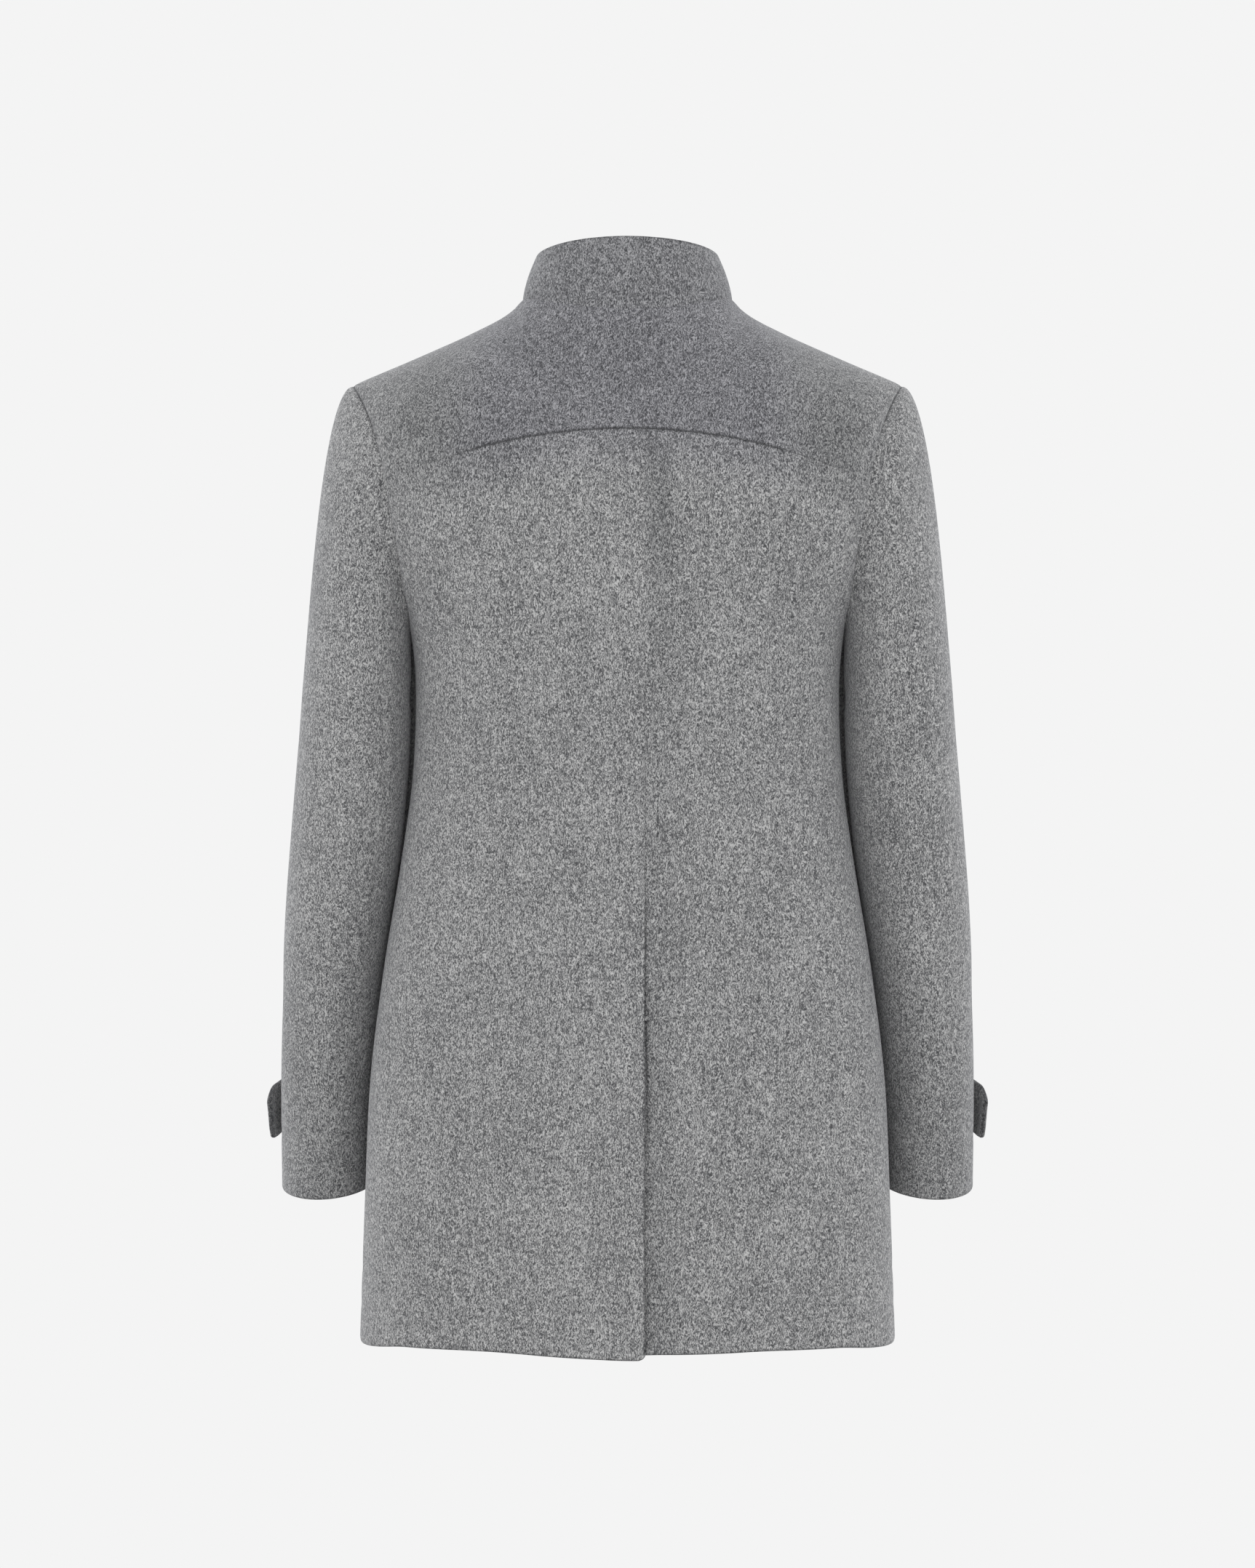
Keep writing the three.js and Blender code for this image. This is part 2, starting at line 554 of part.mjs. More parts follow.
add("back_yoke", backYoke());
add("back_left", backHalf(1));
add("back_right", backHalf(-1));
add("front_left", frontHalf(1));
add("front_right", frontHalf(-1));
add("collar", collar());
for (const [word, hand] of [["left", 1], ["right", -1]]) {
  add(`sleeve_${word}_upper`, sleevePiece(hand, sleeveTurns.filter((turn) => turn <= SLEEVE_SEAM.back)));
  add(`sleeve_${word}_under`, sleevePiece(hand, sleeveTurns.filter((turn) => turn >= SLEEVE_SEAM.back)));
  add(`cuff_tab_${word}`, cuffTab(hand));
  const { point, out } = tabFrame(hand, CUFF_BUTTON.angle, 0);
  button(`cuff_button_${word}`, CUFF_BUTTON, point.addScaledVector(out, SEAT_GAP + TAB.thick), out);
}
for (let i = 0; i < FRONT_BUTTON.count; i += 1) {
  const z = FRONT_BUTTON.firstZ - i * FRONT_BUTTON.step;
  const tall = bodyAcross(0, z + 1, -1).sub(bodyAcross(0, z - 1, -1));
  const out = new THREE.Vector3(0, -tall.z, tall.y).normalize();
  button(`front_button_${i + 1}`, FRONT_BUTTON, bodyAcross(0, z, -1), out);
}

export default coat;
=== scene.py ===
"""A man's thigh-length coat in brushed grey melange wool, seen from behind and filled out as if worn.

Every piece of cloth is a surface of two parameters, given a thickness along its own normal, with turned edges where
the cloth ends and soft grooves where it is sewn. Sizes are in millimetres and become metres as a mesh is made.
+X is the wearer's left, -Y the front, +Z up, and the origin lies midway between the two neck points.
"""

import math

import bpy
import numpy as np
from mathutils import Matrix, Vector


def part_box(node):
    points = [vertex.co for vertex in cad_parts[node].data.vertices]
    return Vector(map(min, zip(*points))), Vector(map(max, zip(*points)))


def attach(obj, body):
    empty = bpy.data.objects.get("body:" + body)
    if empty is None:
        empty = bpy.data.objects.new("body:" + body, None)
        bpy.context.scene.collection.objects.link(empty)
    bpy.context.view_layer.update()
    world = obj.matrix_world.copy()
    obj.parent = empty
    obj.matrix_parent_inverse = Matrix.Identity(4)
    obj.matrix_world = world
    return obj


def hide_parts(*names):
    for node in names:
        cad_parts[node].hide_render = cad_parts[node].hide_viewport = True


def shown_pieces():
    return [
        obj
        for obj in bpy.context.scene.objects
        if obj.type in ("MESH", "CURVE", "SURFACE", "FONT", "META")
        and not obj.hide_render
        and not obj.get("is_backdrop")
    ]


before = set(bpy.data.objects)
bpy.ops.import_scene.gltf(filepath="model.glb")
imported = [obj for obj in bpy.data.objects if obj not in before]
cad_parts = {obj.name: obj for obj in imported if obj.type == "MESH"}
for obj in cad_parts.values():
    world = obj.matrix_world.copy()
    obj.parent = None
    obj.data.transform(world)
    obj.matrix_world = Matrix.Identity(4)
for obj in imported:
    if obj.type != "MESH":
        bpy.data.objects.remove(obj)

bl_info = {
    "name": "Wool Coat",
    "version": (1, 0, 0),
    "blender": (4, 5, 0),
    "location": "View3D > Sidebar > Wool Coat",
    "description": "Builds a stand-collar wool coat with a back yoke and a lapped vent",
    "category": "Add Mesh",
}

MM = 0.001
LEFT, RIGHT = 1, -1
BACK, FRONT = 1, -1
HANDS = {"left": LEFT, "right": RIGHT}


def table(columns, *rows):
    """A short table as one array for each named column."""
    return dict(zip(columns.split(), np.array(rows, dtype=float).T))


# The neck seam and the collar's top edge, as ovals
NECK = dict(half=84.5, y=-2.0, z=5.0, back=72.0, front=78.0, back_drop=13.0, front_drop=75.0)
COLLAR_TOP = dict(half=73.0, y=-8.0, z=40.0, back=70.0, front=70.0, back_rise=9.5, front_drop=52.0)

# Shoulders, armholes and the way the cloth turns over them
SHOULDER = dict(x=221.0, z=-64.0, y=-8.0)
UNDERARM_Z = -268.0
ARMHOLE_MID = (SHOULDER["z"] + UNDERARM_Z) / 2
ARMHOLE_HALF = (SHOULDER["z"] - UNDERARM_Z) / 2
SHOULDER_ROUND = 62.0
NECK_ROUND = dict(back=150.0, front=110.0)
ROUNDNESS = 2.4

# Seams, laps and hem
YOKE = dict(middle=-105.5, edge=-143.4, half=186.0, power=1.97)
BACK_SEAM_X = -13.3
VENT = dict(top=-570.0, ease=46.0, underlap=40.0, ease_x=30.0, turn=4.0, wander=0.55)
YOKE_TACK = dict(x=122.0, below=1.4, long=10.0, radius=0.6)
FRONT_LAP = 22.0
FRONT_LAP_EASE = 26.0
LAP_DROP = 3.3
LAP_PROUD = 0.9
HEM_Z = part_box("front_left")[0][2] / MM
UNDER_HEM_RISE = 3.5
HEM_TUCK = dict(high=8.0, deep=5.0, share=0.85)
BACK_HEM_RISE = dict(high=6.2, start=0.03, full=0.72, side=0.62)
# Less than nought, so that pieces reach over each other at a seam and no light passes
SEAM_GAP = -0.8
# How deep and wide a groove is against the settings, the power of its bell and how far the painted shade of its dark
# line reaches
GROOVES = dict(seam=(1.0, 1.0, 1.4, 1.6), tucked=(1.5, 0.7, 1.2, 2.2))
# How far the painted shade reaches in from a turned or lapped edge
EDGE_DARK = 1.7

# The body's ovals, level by level: half width, and how far the back and the front reach from the middle
BODY = table(
    "z side back front",
    (-60, 225, 100, 94),
    (-100, 216, 108, 105),
    (-140, 211, 114, 117),
    (-185, 201, 117, 125),
    (-229, 187.5, 116, 128),
    (-252, 179, 115, 127.5),
    (-268, 173, 114, 127),
    (-310, 169.5, 111, 122),
    (-380, 172.5, 108.5, 118),
    (-450, 182, 109.5, 118.5),
    (-530, 195, 113.5, 122),
    (-620, 206, 119, 127),
    (-720, 210.5, 124, 131),
    (-834.5, 214.5, 128, 134),
)
SHOULDER_LINE = table(
    "x z", (84.5, 5), (92, -3.5), (104, -12), (127, -24), (153, -35.5), (180, -47), (208, -58.5), (221, -64)
)
ARMHOLE = table(
    "z back front",
    (-64, 221, 221),
    (-81, 211.5, 210),
    (-102.5, 202.5, 199),
    (-125, 196.3, 191.5),
    (-152, 191.5, 186),
    (-185, 185.5, 181.5),
    (-206, 181.8, 179),
    (-229, 178.8, 177.5),
    (-252, 175.8, 174.8),
    (-268, 173, 173),
)
# The sleeve's ovals below the armhole: middle, and half sizes across and front to back
SLEEVE = table(
    "z x y across deep",
    (-292, 216.7, 0, 43, 66),
    (-346, 219.4, -2, 45, 64),
    (-427, 226, -8, 45.2, 61),
    (-485, 232.2, -15, 43.6, 59),
    (-543, 237.8, -24, 40.9, 57),
    (-613, 241.6, -35, 39.2, 55.5),
    (-709, 242.6, -51, 38.4, 54),
)
SLEEVE_TOP_Z, CUFF_Z = SLEEVE["z"][0], SLEEVE["z"][-1]
CUFF_PITCH, CUFF_LEAN = 0.19, 0.067
CAP_REACH = 0.3
SLEEVE_SEAM = dict(back=81.0, front=-135.0)
PRESS = dict(clear=3.6, soft=2.5, ease=60.0, below_cuff=0.45, fade=90.0, closer=0.4)
# The fold of the body's side that fills the hollow ahead of the sleeve's nearest line
ARM_FOLD = dict(ahead=34.0, wide=16.0, clear=3.2, top=(-256.0, -274.0), foot=(-600.0, -478.0))

# Long soft troughs down the body, as in the solids
TROUGHS = table(
    "angle width depth top full",
    (48, 13, 3.6, -400, -600),
    (130, 12, 3.2, -430, -640),
    (76, 8, 1.8, -560, -800),
    (107, 9, 1.5, -520, -780),
    (-47, 12, 3.4, -420, -640),
    (-131, 13, 3.0, -400, -600),
    (-70, 8, 1.6, -600, -800),
)
# Shorter creases of the body: middle, lean from upright in degrees, half length, half width and depth
BACK_CREASES = table(
    "x z lean long wide deep",
    (163, -232, 38, 34, 9, 1.8),
    (150, -214, 46, 30, 8, 1.1),
    (-161, -236, -36, 32, 9, 1.7),
    (-147, -218, -48, 28, 8, 1.0),
    (142, -352, 24, 46, 13, 1.5),
    (-140, -360, -22, 50, 13, 1.6),
    (96, -430, 12, 70, 15, 1.2),
    (-101, -446, -10, 66, 15, 1.1),
    (-21, -158, 3, 46, 8, 1.0),
    (-25, -298, 4, 26, 9, 0.9),
    (14, -300, -3, 60, 14, -0.5),
    (120, -560, 8, 80, 15, 1.1),
    (-118, -590, -6, 86, 15, 1.2),
    (60, -690, 4, 90, 13, 0.9),
    (-66, -700, -5, 84, 13, 0.9),
    (58, -82, 62, 44, 12, 0.8),
    (-62, -84, -60, 42, 12, 0.8),
)
FRONT_CREASES = table(
    "x z lean long wide deep",
    (150, -218, 42, 36, 10, 2.0),
    (-152, -222, -40, 34, 10, 1.9),
    (133, -196, 50, 30, 9, 1.2),
    (-136, -200, -48, 30, 9, 1.2),
    (70, -150, 30, 52, 14, 1.1),
    (-72, -156, -30, 50, 14, 1.1),
    (30, -192, 68, 30, 10, 0.9),
    (-34, -292, -66, 30, 10, 0.9),
    (36, -392, 66, 28, 10, 0.8),
    (112, -380, 16, 66, 14, 1.2),
    (-116, -396, -15, 64, 14, 1.3),
    (86, -640, 6, 90, 15, 1.1),
    (-90, -660, -6, 90, 15, 1.1),
)
# Creases of a sleeve: degrees round it from outside, height, lean, half length, half width and depth
SLEEVE_CREASES = table(
    "turn z lean long wide deep",
    (146, -296, 58, 30, 11, 1.0),
    (-158, -306, -56, 30, 9, 2.0),
    (172, -338, 74, 26, 12, 0.5),
    (-96, -470, 70, 34, 9, 2.4),
    (-70, -494, 62, 38, 10, 2.2),
    (-112, -512, 76, 30, 9, 1.9),
    (-40, -452, 52, 30, 11, 1.0),
    (84, -486, 30, 44, 12, 1.2),
    (104, -430, -24, 40, 12, 1.1),
    (60, -560, 14, 60, 13, 1.1),
    (22, -384, 8, 60, 15, 0.9),
    (-6, -590, -10, 52, 14, 0.9),
    (122, -600, 18, 50, 12, 1.1),
    (46, -128, 40, 34, 12, 0.8),
    (-50, -134, -38, 36, 12, 1.1),
)

# The faint lines that the turned-up hems leave on the outside, above the edge
HEM_LINE = dict(up=(62.0, 34.0), wide=5.0, deep=0.35)
CUFF_LINE = dict(up=(40.0,), wide=4.0, deep=0.35)

# Cuff tabs
TAB = dict(thick=4.5, half=21.0, z=-647.0, start=-133.0, lift=-38.0, end=2.0, drop=5.0, rise=5.8, cut=8.0)
TAB_SEAT = 0.6
TAB_CORNER = 3.5
TAB_SLANT = 0.25

# Buttons, sewn through four holes
FRONT_BUTTON = dict(radius=13.0, thick=4.2, hole=1.15, holes_at=3.3)
CUFF_BUTTON = dict(radius=9.5, thick=3.6, hole=0.95, holes_at=2.5)
FRONT_BUTTON_Z = [-92.0 - 100.0 * i for i in range(5)]
CUFF_BUTTON_TURN = -64.0
BUTTON_SEAT = 0.6
BUTTONHOLE = dict(start=-4.0, end=25.0, wide=3.4, cord=0.95)

# Camera: the photograph is taken level with the coat's middle, from straight behind
CAMERA = dict(away=4000.0, z=-385.0, mm_per_pixel=0.585)
FRAME_PIXELS = (1725, 2156)
SENSOR = 36.0
FLOOR_RADIUS = 2.2
# How much longer a grain of the noise is from front to back than across
DEEPER = 1.8


def smoothstep(start, end, value):
    """Nought before start, one past end and an S curve between them, whichever of the two is larger."""
    t = np.clip((value - start) / (end - start), 0, 1)
    return t * t * (3 - 2 * t)


def lerp(a, b, t):
    return a + (b - a) * t


def unit(v):
    return v / np.maximum(np.linalg.norm(v, axis=-1, keepdims=True), 1e-9)


def along(rows, key, column, at):
    """A smooth curve through a table: cubic between two rows, each row's slope being that of its neighbours."""
    k, c = rows[key], rows[column]
    if k[-1] < k[0]:
        k, c = k[::-1], c[::-1]
    at = np.clip(at, k[0], k[-1])
    i = np.clip(np.searchsorted(k, at, side="right") - 1, 0, len(k) - 2)
    slope = np.gradient(c, k, edge_order=1)
    slope[1:-1] = (c[2:] - c[:-2]) / (k[2:] - k[:-2])
    step = k[i + 1] - k[i]
    t = (at - k[i]) / step
    here = (1 + 2 * t) * (1 - t) ** 2 * c[i] + t * (1 - t) ** 2 * step * slope[i]
    return here + t * t * (3 - 2 * t) * c[i + 1] - t * t * (1 - t) * step * slope[i + 1]


def creased(rows, across, z):
    """How deep the creases press in at a place: each is a bell across its line that dies away along it."""
    total = np.zeros(np.broadcast(across, z).shape)
    for x0, z0, lean, long, wide, deep in zip(*rows.values()):
        s, c = math.sin(math.radians(lean)), math.cos(math.radians(lean))
        dx, dz = across - x0, z - z0
        off, run = dx * c + dz * s, dz * c - dx * s
        total += deep * np.exp(-((off / wide) ** 2) - (run / long) ** 4)
    return total


def top_edge(x, side):
    """The body's top edge: the neck seam's oval near the middle, and the sloping shoulder seam beyond it."""
    across = np.abs(x)
    out = np.clip((across - NECK["half"]) / (SHOULDER["x"] - NECK["half"]), 0, 1)
    rise = np.sqrt(np.clip(1 - (across / NECK["half"]) ** 2, 0, 1))
    neck_y = NECK["y"] + np.where(side > 0, NECK["back"], -NECK["front"]) * rise
    neck_z = NECK["z"] - np.where(side > 0, NECK["back_drop"] * rise**2, NECK["front_drop"] * rise**1.6)
    beyond = across >= NECK["half"]
    y = np.where(beyond, lerp(NECK["y"], SHOULDER["y"], out), neck_y)
    z = np.where(beyond, along(SHOULDER_LINE, "x", "z", across), neck_z)
    return y, z


def reach(z, side):
    """How far the oval at a level reaches to the back or front."""
    return np.where(side > 0, along(BODY, "z", "back", z), along(BODY, "z", "front", z))


def oval_depth(x, z, side):
    """The oval's depth at a place across it: a superellipse, so |x|^n + |y|^n is constant in half sizes."""
    share = np.clip(np.abs(x) / along(BODY, "z", "side", z), 0, 1)
    return reach(z, side) * (1 - share**ROUNDNESS) ** (1 / ROUNDNESS)


def beside_sleeve(y, z):
    """Where a place lies along the sleeve's depth, from -1 to 1, and how far out its inner wall is there."""
    off = np.clip((y - along(SLEEVE, "z", "y", z)) / along(SLEEVE, "z", "deep", z), -1, 1)
    return off, along(SLEEVE, "z", "x", z) - along(SLEEVE, "z", "across", z) * np.sqrt(1 - off * off)


def arm_fold(x, y, z):
    """How far the body's side fills out ahead of the sleeve's nearest line: a bell front to back that takes up the
    room left before the sleeve's inner wall."""
    inner = beside_sleeve(y, z)[1]
    room = np.clip(inner - ARM_FOLD["clear"] - np.abs(x), 0, 20)
    ahead = (y - along(SLEEVE, "z", "y", z) + ARM_FOLD["ahead"]) / ARM_FOLD["wide"]
    return room * np.exp(-ahead * ahead) * smoothstep(*ARM_FOLD["top"], z) * smoothstep(*ARM_FOLD["foot"], z)


def pressed_in(x, y, z):
    """How far the hanging sleeve presses the body's side in: a soft maximum of nought and the overlap."""
    off, inner = beside_sleeve(y, z)
    closer = 1 - PRESS["closer"] * smoothstep(*ARM_FOLD["foot"], z)
    over = (np.abs(x) - inner + PRESS["clear"] * closer) / (PRESS["soft"] * closer)
    eased = smoothstep(SLEEVE_TOP_Z, SLEEVE_TOP_Z - PRESS["ease"], z)
    relaxed = lerp(1, PRESS["below_cuff"], smoothstep(CUFF_Z - 20, CUFF_Z - PRESS["fade"], z))
    beside = np.abs(off) < 1
    return PRESS["soft"] * closer * np.log1p(np.exp(np.clip(over, -40, 40))) * eased * relaxed * beside


def shaped(x, y, z, side):
    """The worn form: the oval is drawn in towards the seam above it as the shoulders turn, the troughs and creases
    press it in towards the middle, and the arms press its sides."""
    top_y, top_z = top_edge(x, side)
    outward = smoothstep(50, 125, np.abs(x))
    about_neck = np.where(side > 0, NECK_ROUND["back"], NECK_ROUND["front"])
    left = 1 - np.clip((top_z - z) / lerp(about_neck, SHOULDER_ROUND, outward), 0, 1)
    turned = np.clip(1 - left * left, 0, 1) ** lerp(1, 0.5, outward)
    angle = np.arctan2(y, x)
    pushed = np.where(side > 0, creased(BACK_CREASES, x, z), creased(FRONT_CREASES, x, z))
    for row in zip(*TROUGHS.values()):
        middle, width, depth, top, full = row
        away = (np.degrees(angle) - middle) / width
        pushed = pushed + depth * smoothstep(top, full, z) * np.exp(-away * away)
    for up in HEM_LINE["up"]:
        line = (z - HEM_Z - up) / HEM_LINE["wide"]
        pushed = pushed + HEM_LINE["deep"] * np.exp(-line * line)
    near_hem = np.clip((HEM_Z + HEM_TUCK["high"] - z) / HEM_TUCK["high"], 0, 1)
    at_side = smoothstep(HEM_TUCK["share"], 1, np.abs(x) / along(BODY, "z", "side", z))
    x = x + np.sign(x) * arm_fold(x, y, z)
    pressed = pressed_in(x, y, z) + HEM_TUCK["deep"] * (1 - np.sqrt(1 - near_hem**2)) * at_side
    return np.stack(
        np.broadcast_arrays(
            x - pushed * np.cos(angle) - pressed * np.sign(x),
            top_y + (y - top_y) * turned - pushed * np.sin(angle) + side * SEAM_GAP / 2,
            z,
        ),
        axis=-1,
    )


def body_across(x, z, side):
    """A point of the body at a place across it."""
    return shaped(x, side * oval_depth(x, z, side), z, side)


def body_around(angle, z, side):
    """A point of the body at an angle round it, on the same superellipse."""
    across = np.abs(np.cos(angle)) / along(BODY, "z", "side", z)
    deep = np.abs(np.sin(angle)) / reach(z, side)
    out = (across**ROUNDNESS + deep**ROUNDNESS) ** (-1 / ROUNDNESS)
    return shaped(out * np.cos(angle), out * np.sin(angle), z, side)


def armhole_x(z, side):
    return np.where(side > 0, along(ARMHOLE, "z", "back", z), along(ARMHOLE, "z", "front", z))


def armhole_z(degrees):
    """The armhole runs round in degrees from its top, at nought, to the underarm, at 180."""
    return ARMHOLE_MID + ARMHOLE_HALF * np.cos(np.radians(degrees))


def armhole_degrees(z):
    return math.degrees(math.acos(np.clip((z - ARMHOLE_MID) / ARMHOLE_HALF, -1, 1)))


def yoke_z(x):
    """The yoke's arched seam: highest in the middle and falling with a power of the way to its end."""
    share = np.clip(np.abs(x) / YOKE["half"], 0, 1)
    return YOKE["middle"] + (YOKE["edge"] - YOKE["middle"]) * share ** YOKE["power"]


def armhole_shows(points):
    """How clearly the armhole and side seams show: at the shoulder, hardly below it, and again at the underarm."""
    z = points[..., 2]
    return 0.38 + 0.57 * smoothstep(-125, -88, z) + 0.3 * smoothstep(-165, -205, z)


def middle_shows(points):
    """The seam down the back is nearly lost under the nap at the yoke and opens out towards the vent."""
    z = points[..., 2]
    return 0.15 + 0.3 * smoothstep(-240, -370, z) + 0.75 * smoothstep(-400, -540, z)


def yoke_shows(points):
    """The yoke seam is crisp between its two tacks and soft beyond them."""
    x = np.abs(points[..., 0])
    return 0.9 - 0.5 * smoothstep(YOKE_TACK["x"] - 4, YOKE_TACK["x"] + 6, x) - 0.25 * smoothstep(135, 184, x)


def neck_shows(points):
    """The neck seam hardly shows at the back, a little at the sides, and becomes the shoulder seam."""
    x = np.abs(points[..., 0])
    return 0.08 + 0.3 * smoothstep(52, 80, x) + 0.3 * smoothstep(88, 125, x)


def sleeve_seam_shows(points):
    """A sleeve's own seams are faint and fade out towards the shoulder."""
    return 0.26 * smoothstep(-120, -300, points[..., 2])


def yoke_look(points):
    """How dark and how cool the back is: wholly so over the yoke, with painted shade that fades out just below its
    seam, paler at the outer shoulders and cool only near the middle. A darker band along the seam down the back, on the
    wearer's right, is painted shade of the lap, and a thin dark line at the vent is a painted shadow."""
    x, z = points[..., 0], points[..., 2]
    below = yoke_z(x) - z
    # Darker over the yoke; below its seam the darkening is painted shade that fades out within 48 mm
    shade = np.where(below < 0, 1, 0.7 * (1 - smoothstep(0, 48, below))) * (1 - 0.6 * smoothstep(172, 205, np.abs(x)))
    cool = shade * (1 - smoothstep(95, 165, np.abs(x)))
    # Painted shade of the lap: a darker band beside the seam down the back, on the right half, strongest high on the
    # back and at the hem
    painted_lap_shade = np.exp(-(((x + 25) / 14) ** 2)) * smoothstep(0.5, -0.5, x - BACK_SEAM_X) * (below > 0)
    much = 0.4 + 0.6 * np.exp(-(((z + 168) / 52) ** 2)) + 0.35 * smoothstep(-720, -830, z)
    # Painted shadow: a thin dark line along the lap's edge at the vent, given out as the pressed measure
    line = np.exp(-(((x - BACK_SEAM_X + 1.2) / 2.4) ** 2)) * smoothstep(VENT["top"] + 25, VENT["top"], z)
    return dict(shade=np.clip(shade + painted_lap_shade * much, 0, 1.2), cool=cool, pressed=line)


def collar_look(points):
    none = np.zeros(points.shape[:-1])
    return dict(shade=none + 0.95, cool=none + 0.6, pressed=none)


def sleeve_look(points):
    """Painted shade: the forearm, which leans away from the light, is painted a little darker."""
    forearm = 0.4 * smoothstep(-480, -660, points[..., 2])
    return dict(shade=forearm, cool=0 * forearm, pressed=0 * forearm)


def plain_look(points):
    none = np.zeros(points.shape[:-1])
    return dict(shade=none, cool=none, pressed=none)


def graded(start, end, step, near_start=1.0, near_end=1.0):
    """Places from start to end, one step apart and much closer at both ends, where edges are rounded. near_start
    and near_end are how many units of the parameter make a millimetre there."""
    close = np.array([0, 0.25, 0.6, 1.1, 1.8, 3.0, 5.0])
    sign = 1 if end > start else -1
    first, last = start + sign * close * near_start, end - sign * close[::-1] * near_end
    count = max(2, int(abs(last[0] - first[-1]) / step))
    return np.concatenate([first, np.linspace(first[-1], last[0], count + 1)[1:-1], last])


def grid_mesh(name, outer, inner, cloth, looks, outward):
    """A closed shell from two grids of points, with quads on both and a rim of quads round their edges. `cloth` is
    the place on the flat cloth in metres, and `looks` holds each named measure that the wool's material reads."""
    rows, cols = outer.shape[:2]
    index = np.arange(rows * cols).reshape(rows, cols)
    far = index + rows * cols
    front = np.stack([index[:-1, :-1], index[:-1, 1:], index[1:, 1:], index[1:, :-1]], axis=-1).reshape(-1, 4)
    behind = np.stack([far[:-1, :-1], far[1:, :-1], far[1:, 1:], far[:-1, 1:]], axis=-1).reshape(-1, 4)
    loop = np.concatenate([index[0, :-1], index[:-1, -1], index[-1, :0:-1], index[:0:-1, 0]])
    after = np.roll(loop, -1)
    rim = np.stack([loop, loop + rows * cols, after + rows * cols, after], axis=-1)
    faces = np.concatenate([front, behind, rim])
    if outward < 0:
        faces = faces[:, ::-1]
    points = np.concatenate([outer.reshape(-1, 3), inner.reshape(-1, 3)]) * MM
    mesh = bpy.data.meshes.new(name)
    mesh.from_pydata(points, [], faces)
    corner_uv = np.concatenate([cloth.reshape(-1, 2)] * 2)[faces.ravel()]
    mesh.uv_layers.new(name="cloth").data.foreach_set("uv", corner_uv.astype(np.float32).ravel())
    for key, values in looks.items():
        layer = mesh.attributes.new(key, "FLOAT", "POINT")
        layer.data.foreach_set("value", np.concatenate([values.ravel()] * 2).astype(np.float32))
    mesh.shade_smooth()
    mesh.update()
    thing = bpy.data.objects.new(name, mesh)
    bpy.context.scene.collection.objects.link(thing)
    return thing


def wall(name, surface, across, down, outward, edges, settings, thick=None, look=plain_look):
    """A piece of cloth: its outer face is the surface sunk a little at its edges, and its inner face lies one
    thickness behind along the normal. A turned edge is a half circle from face to face, a seam is a bell-shaped
    groove, and a lapped edge stands a little proud before it turns. Each edge is given as its kind and how clearly it
    shows, a number or a function of the points. Returns the object, its flat size and its area."""
    thick = thick or settings.wall / MM
    u, v = np.meshgrid(across, down)
    points = surface(u, v)
    normal = outward * unit(np.cross(np.gradient(points, axis=1), np.gradient(points, axis=0)))
    steps_u = np.linalg.norm(np.diff(points, axis=1), axis=2)
    steps_v = np.linalg.norm(np.diff(points, axis=0), axis=2)
    from_left = np.pad(np.cumsum(steps_u, axis=1), ((0, 0), (1, 0)))
    from_top = np.pad(np.cumsum(steps_v, axis=0), ((1, 0), (0, 0)))
    away = {
        "left": from_left,
        "right": from_left[:, -1:] - from_left,
        "top": from_top,
        "bottom": from_top[-1:] - from_top,
    }
    sink, rise, pressed = (np.zeros(u.shape) for _ in range(3))
    half = thick / 2
    for edge, (kind, shows) in edges.items():
        d = away[edge]
        much = shows(points) if callable(shows) else shows
        if kind in GROOVES:
            deep, wide, power, dark = GROOVES[kind]
            bell = np.exp(-((d / (wide * settings.seam_width / MM)) ** power))
            sink += much * deep * settings.seam_depth / MM * bell
        else:
            round_off = 0.9 * much * (half - np.sqrt(half**2 - np.clip(half - d, 0, half) ** 2))
            sink += round_off
            rise += round_off
            dark = EDGE_DARK
            if kind == "lapped":
                sink -= LAP_PROUD * much * np.exp(-((d / 4) ** 2))
        # Painted shade: the pressed measure darkens the wool along each seam and edge, where shade falls in the groove
        # and round the rim
        pressed = np.maximum(pressed, much * np.exp(-((d / dark) ** 2)))
    limit = 0.93 * half
    outer = points - normal * np.minimum(sink, limit)[..., None]
    inner = points - normal * (thick - np.minimum(rise, limit))[..., None]
    middle = np.mean(from_left[len(down) // 2])
    cloth = np.stack([from_left - from_left[:, len(across) // 2, None] + middle, from_top], axis=-1) * MM
    cloth += np.array([0.37, 0.71]) * (1 + len(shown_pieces()))
    looks = look(points)
    # The pressed measure, painted shade along seams and edges, also takes the look's painted shadow line at the vent
    looks["pressed"] = np.maximum(pressed, looks["pressed"])
    thing = grid_mesh(name, outer, inner, cloth, looks, outward)
    finish_piece(thing, settings)
    area = np.linalg.norm(
        np.cross(points[1:, :-1] - points[:-1, :-1], points[:-1, 1:] - points[:-1, :-1]), axis=-1
    ).sum()
    flat = (from_left[:, -1].max() * MM, from_top[-1].max() * MM)
    return thing, flat, min(area * MM * MM, flat[0] * flat[1])


def finish_piece(thing, settings, slot="wool"):
    """Gives a piece its finish and makes it ride with the coat."""
    maker = {"wool": wool_material, "button": button_material, "thread": thread_material}[slot]
    thing.data.materials.append(maker(settings))
    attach(thing, "root")


def cloth_piece(name, node, surface, across, down, outward, edges, settings, thick=None, look=plain_look):
    thing, flat, area = wall(name, surface, across, down, outward, edges, settings, thick, look)
    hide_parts(node)
    return thing


def even_shares(curve):
    """Turns an even measure from 0 to 1 into shares that lie evenly along a curve."""
    shares = np.linspace(0, 1, 801)
    lengths = np.pad(np.cumsum(np.linalg.norm(np.diff(curve(shares), axis=0), axis=1)), (1, 0))
    return lambda even: np.interp(even, lengths / lengths[-1], shares), lengths[-1]


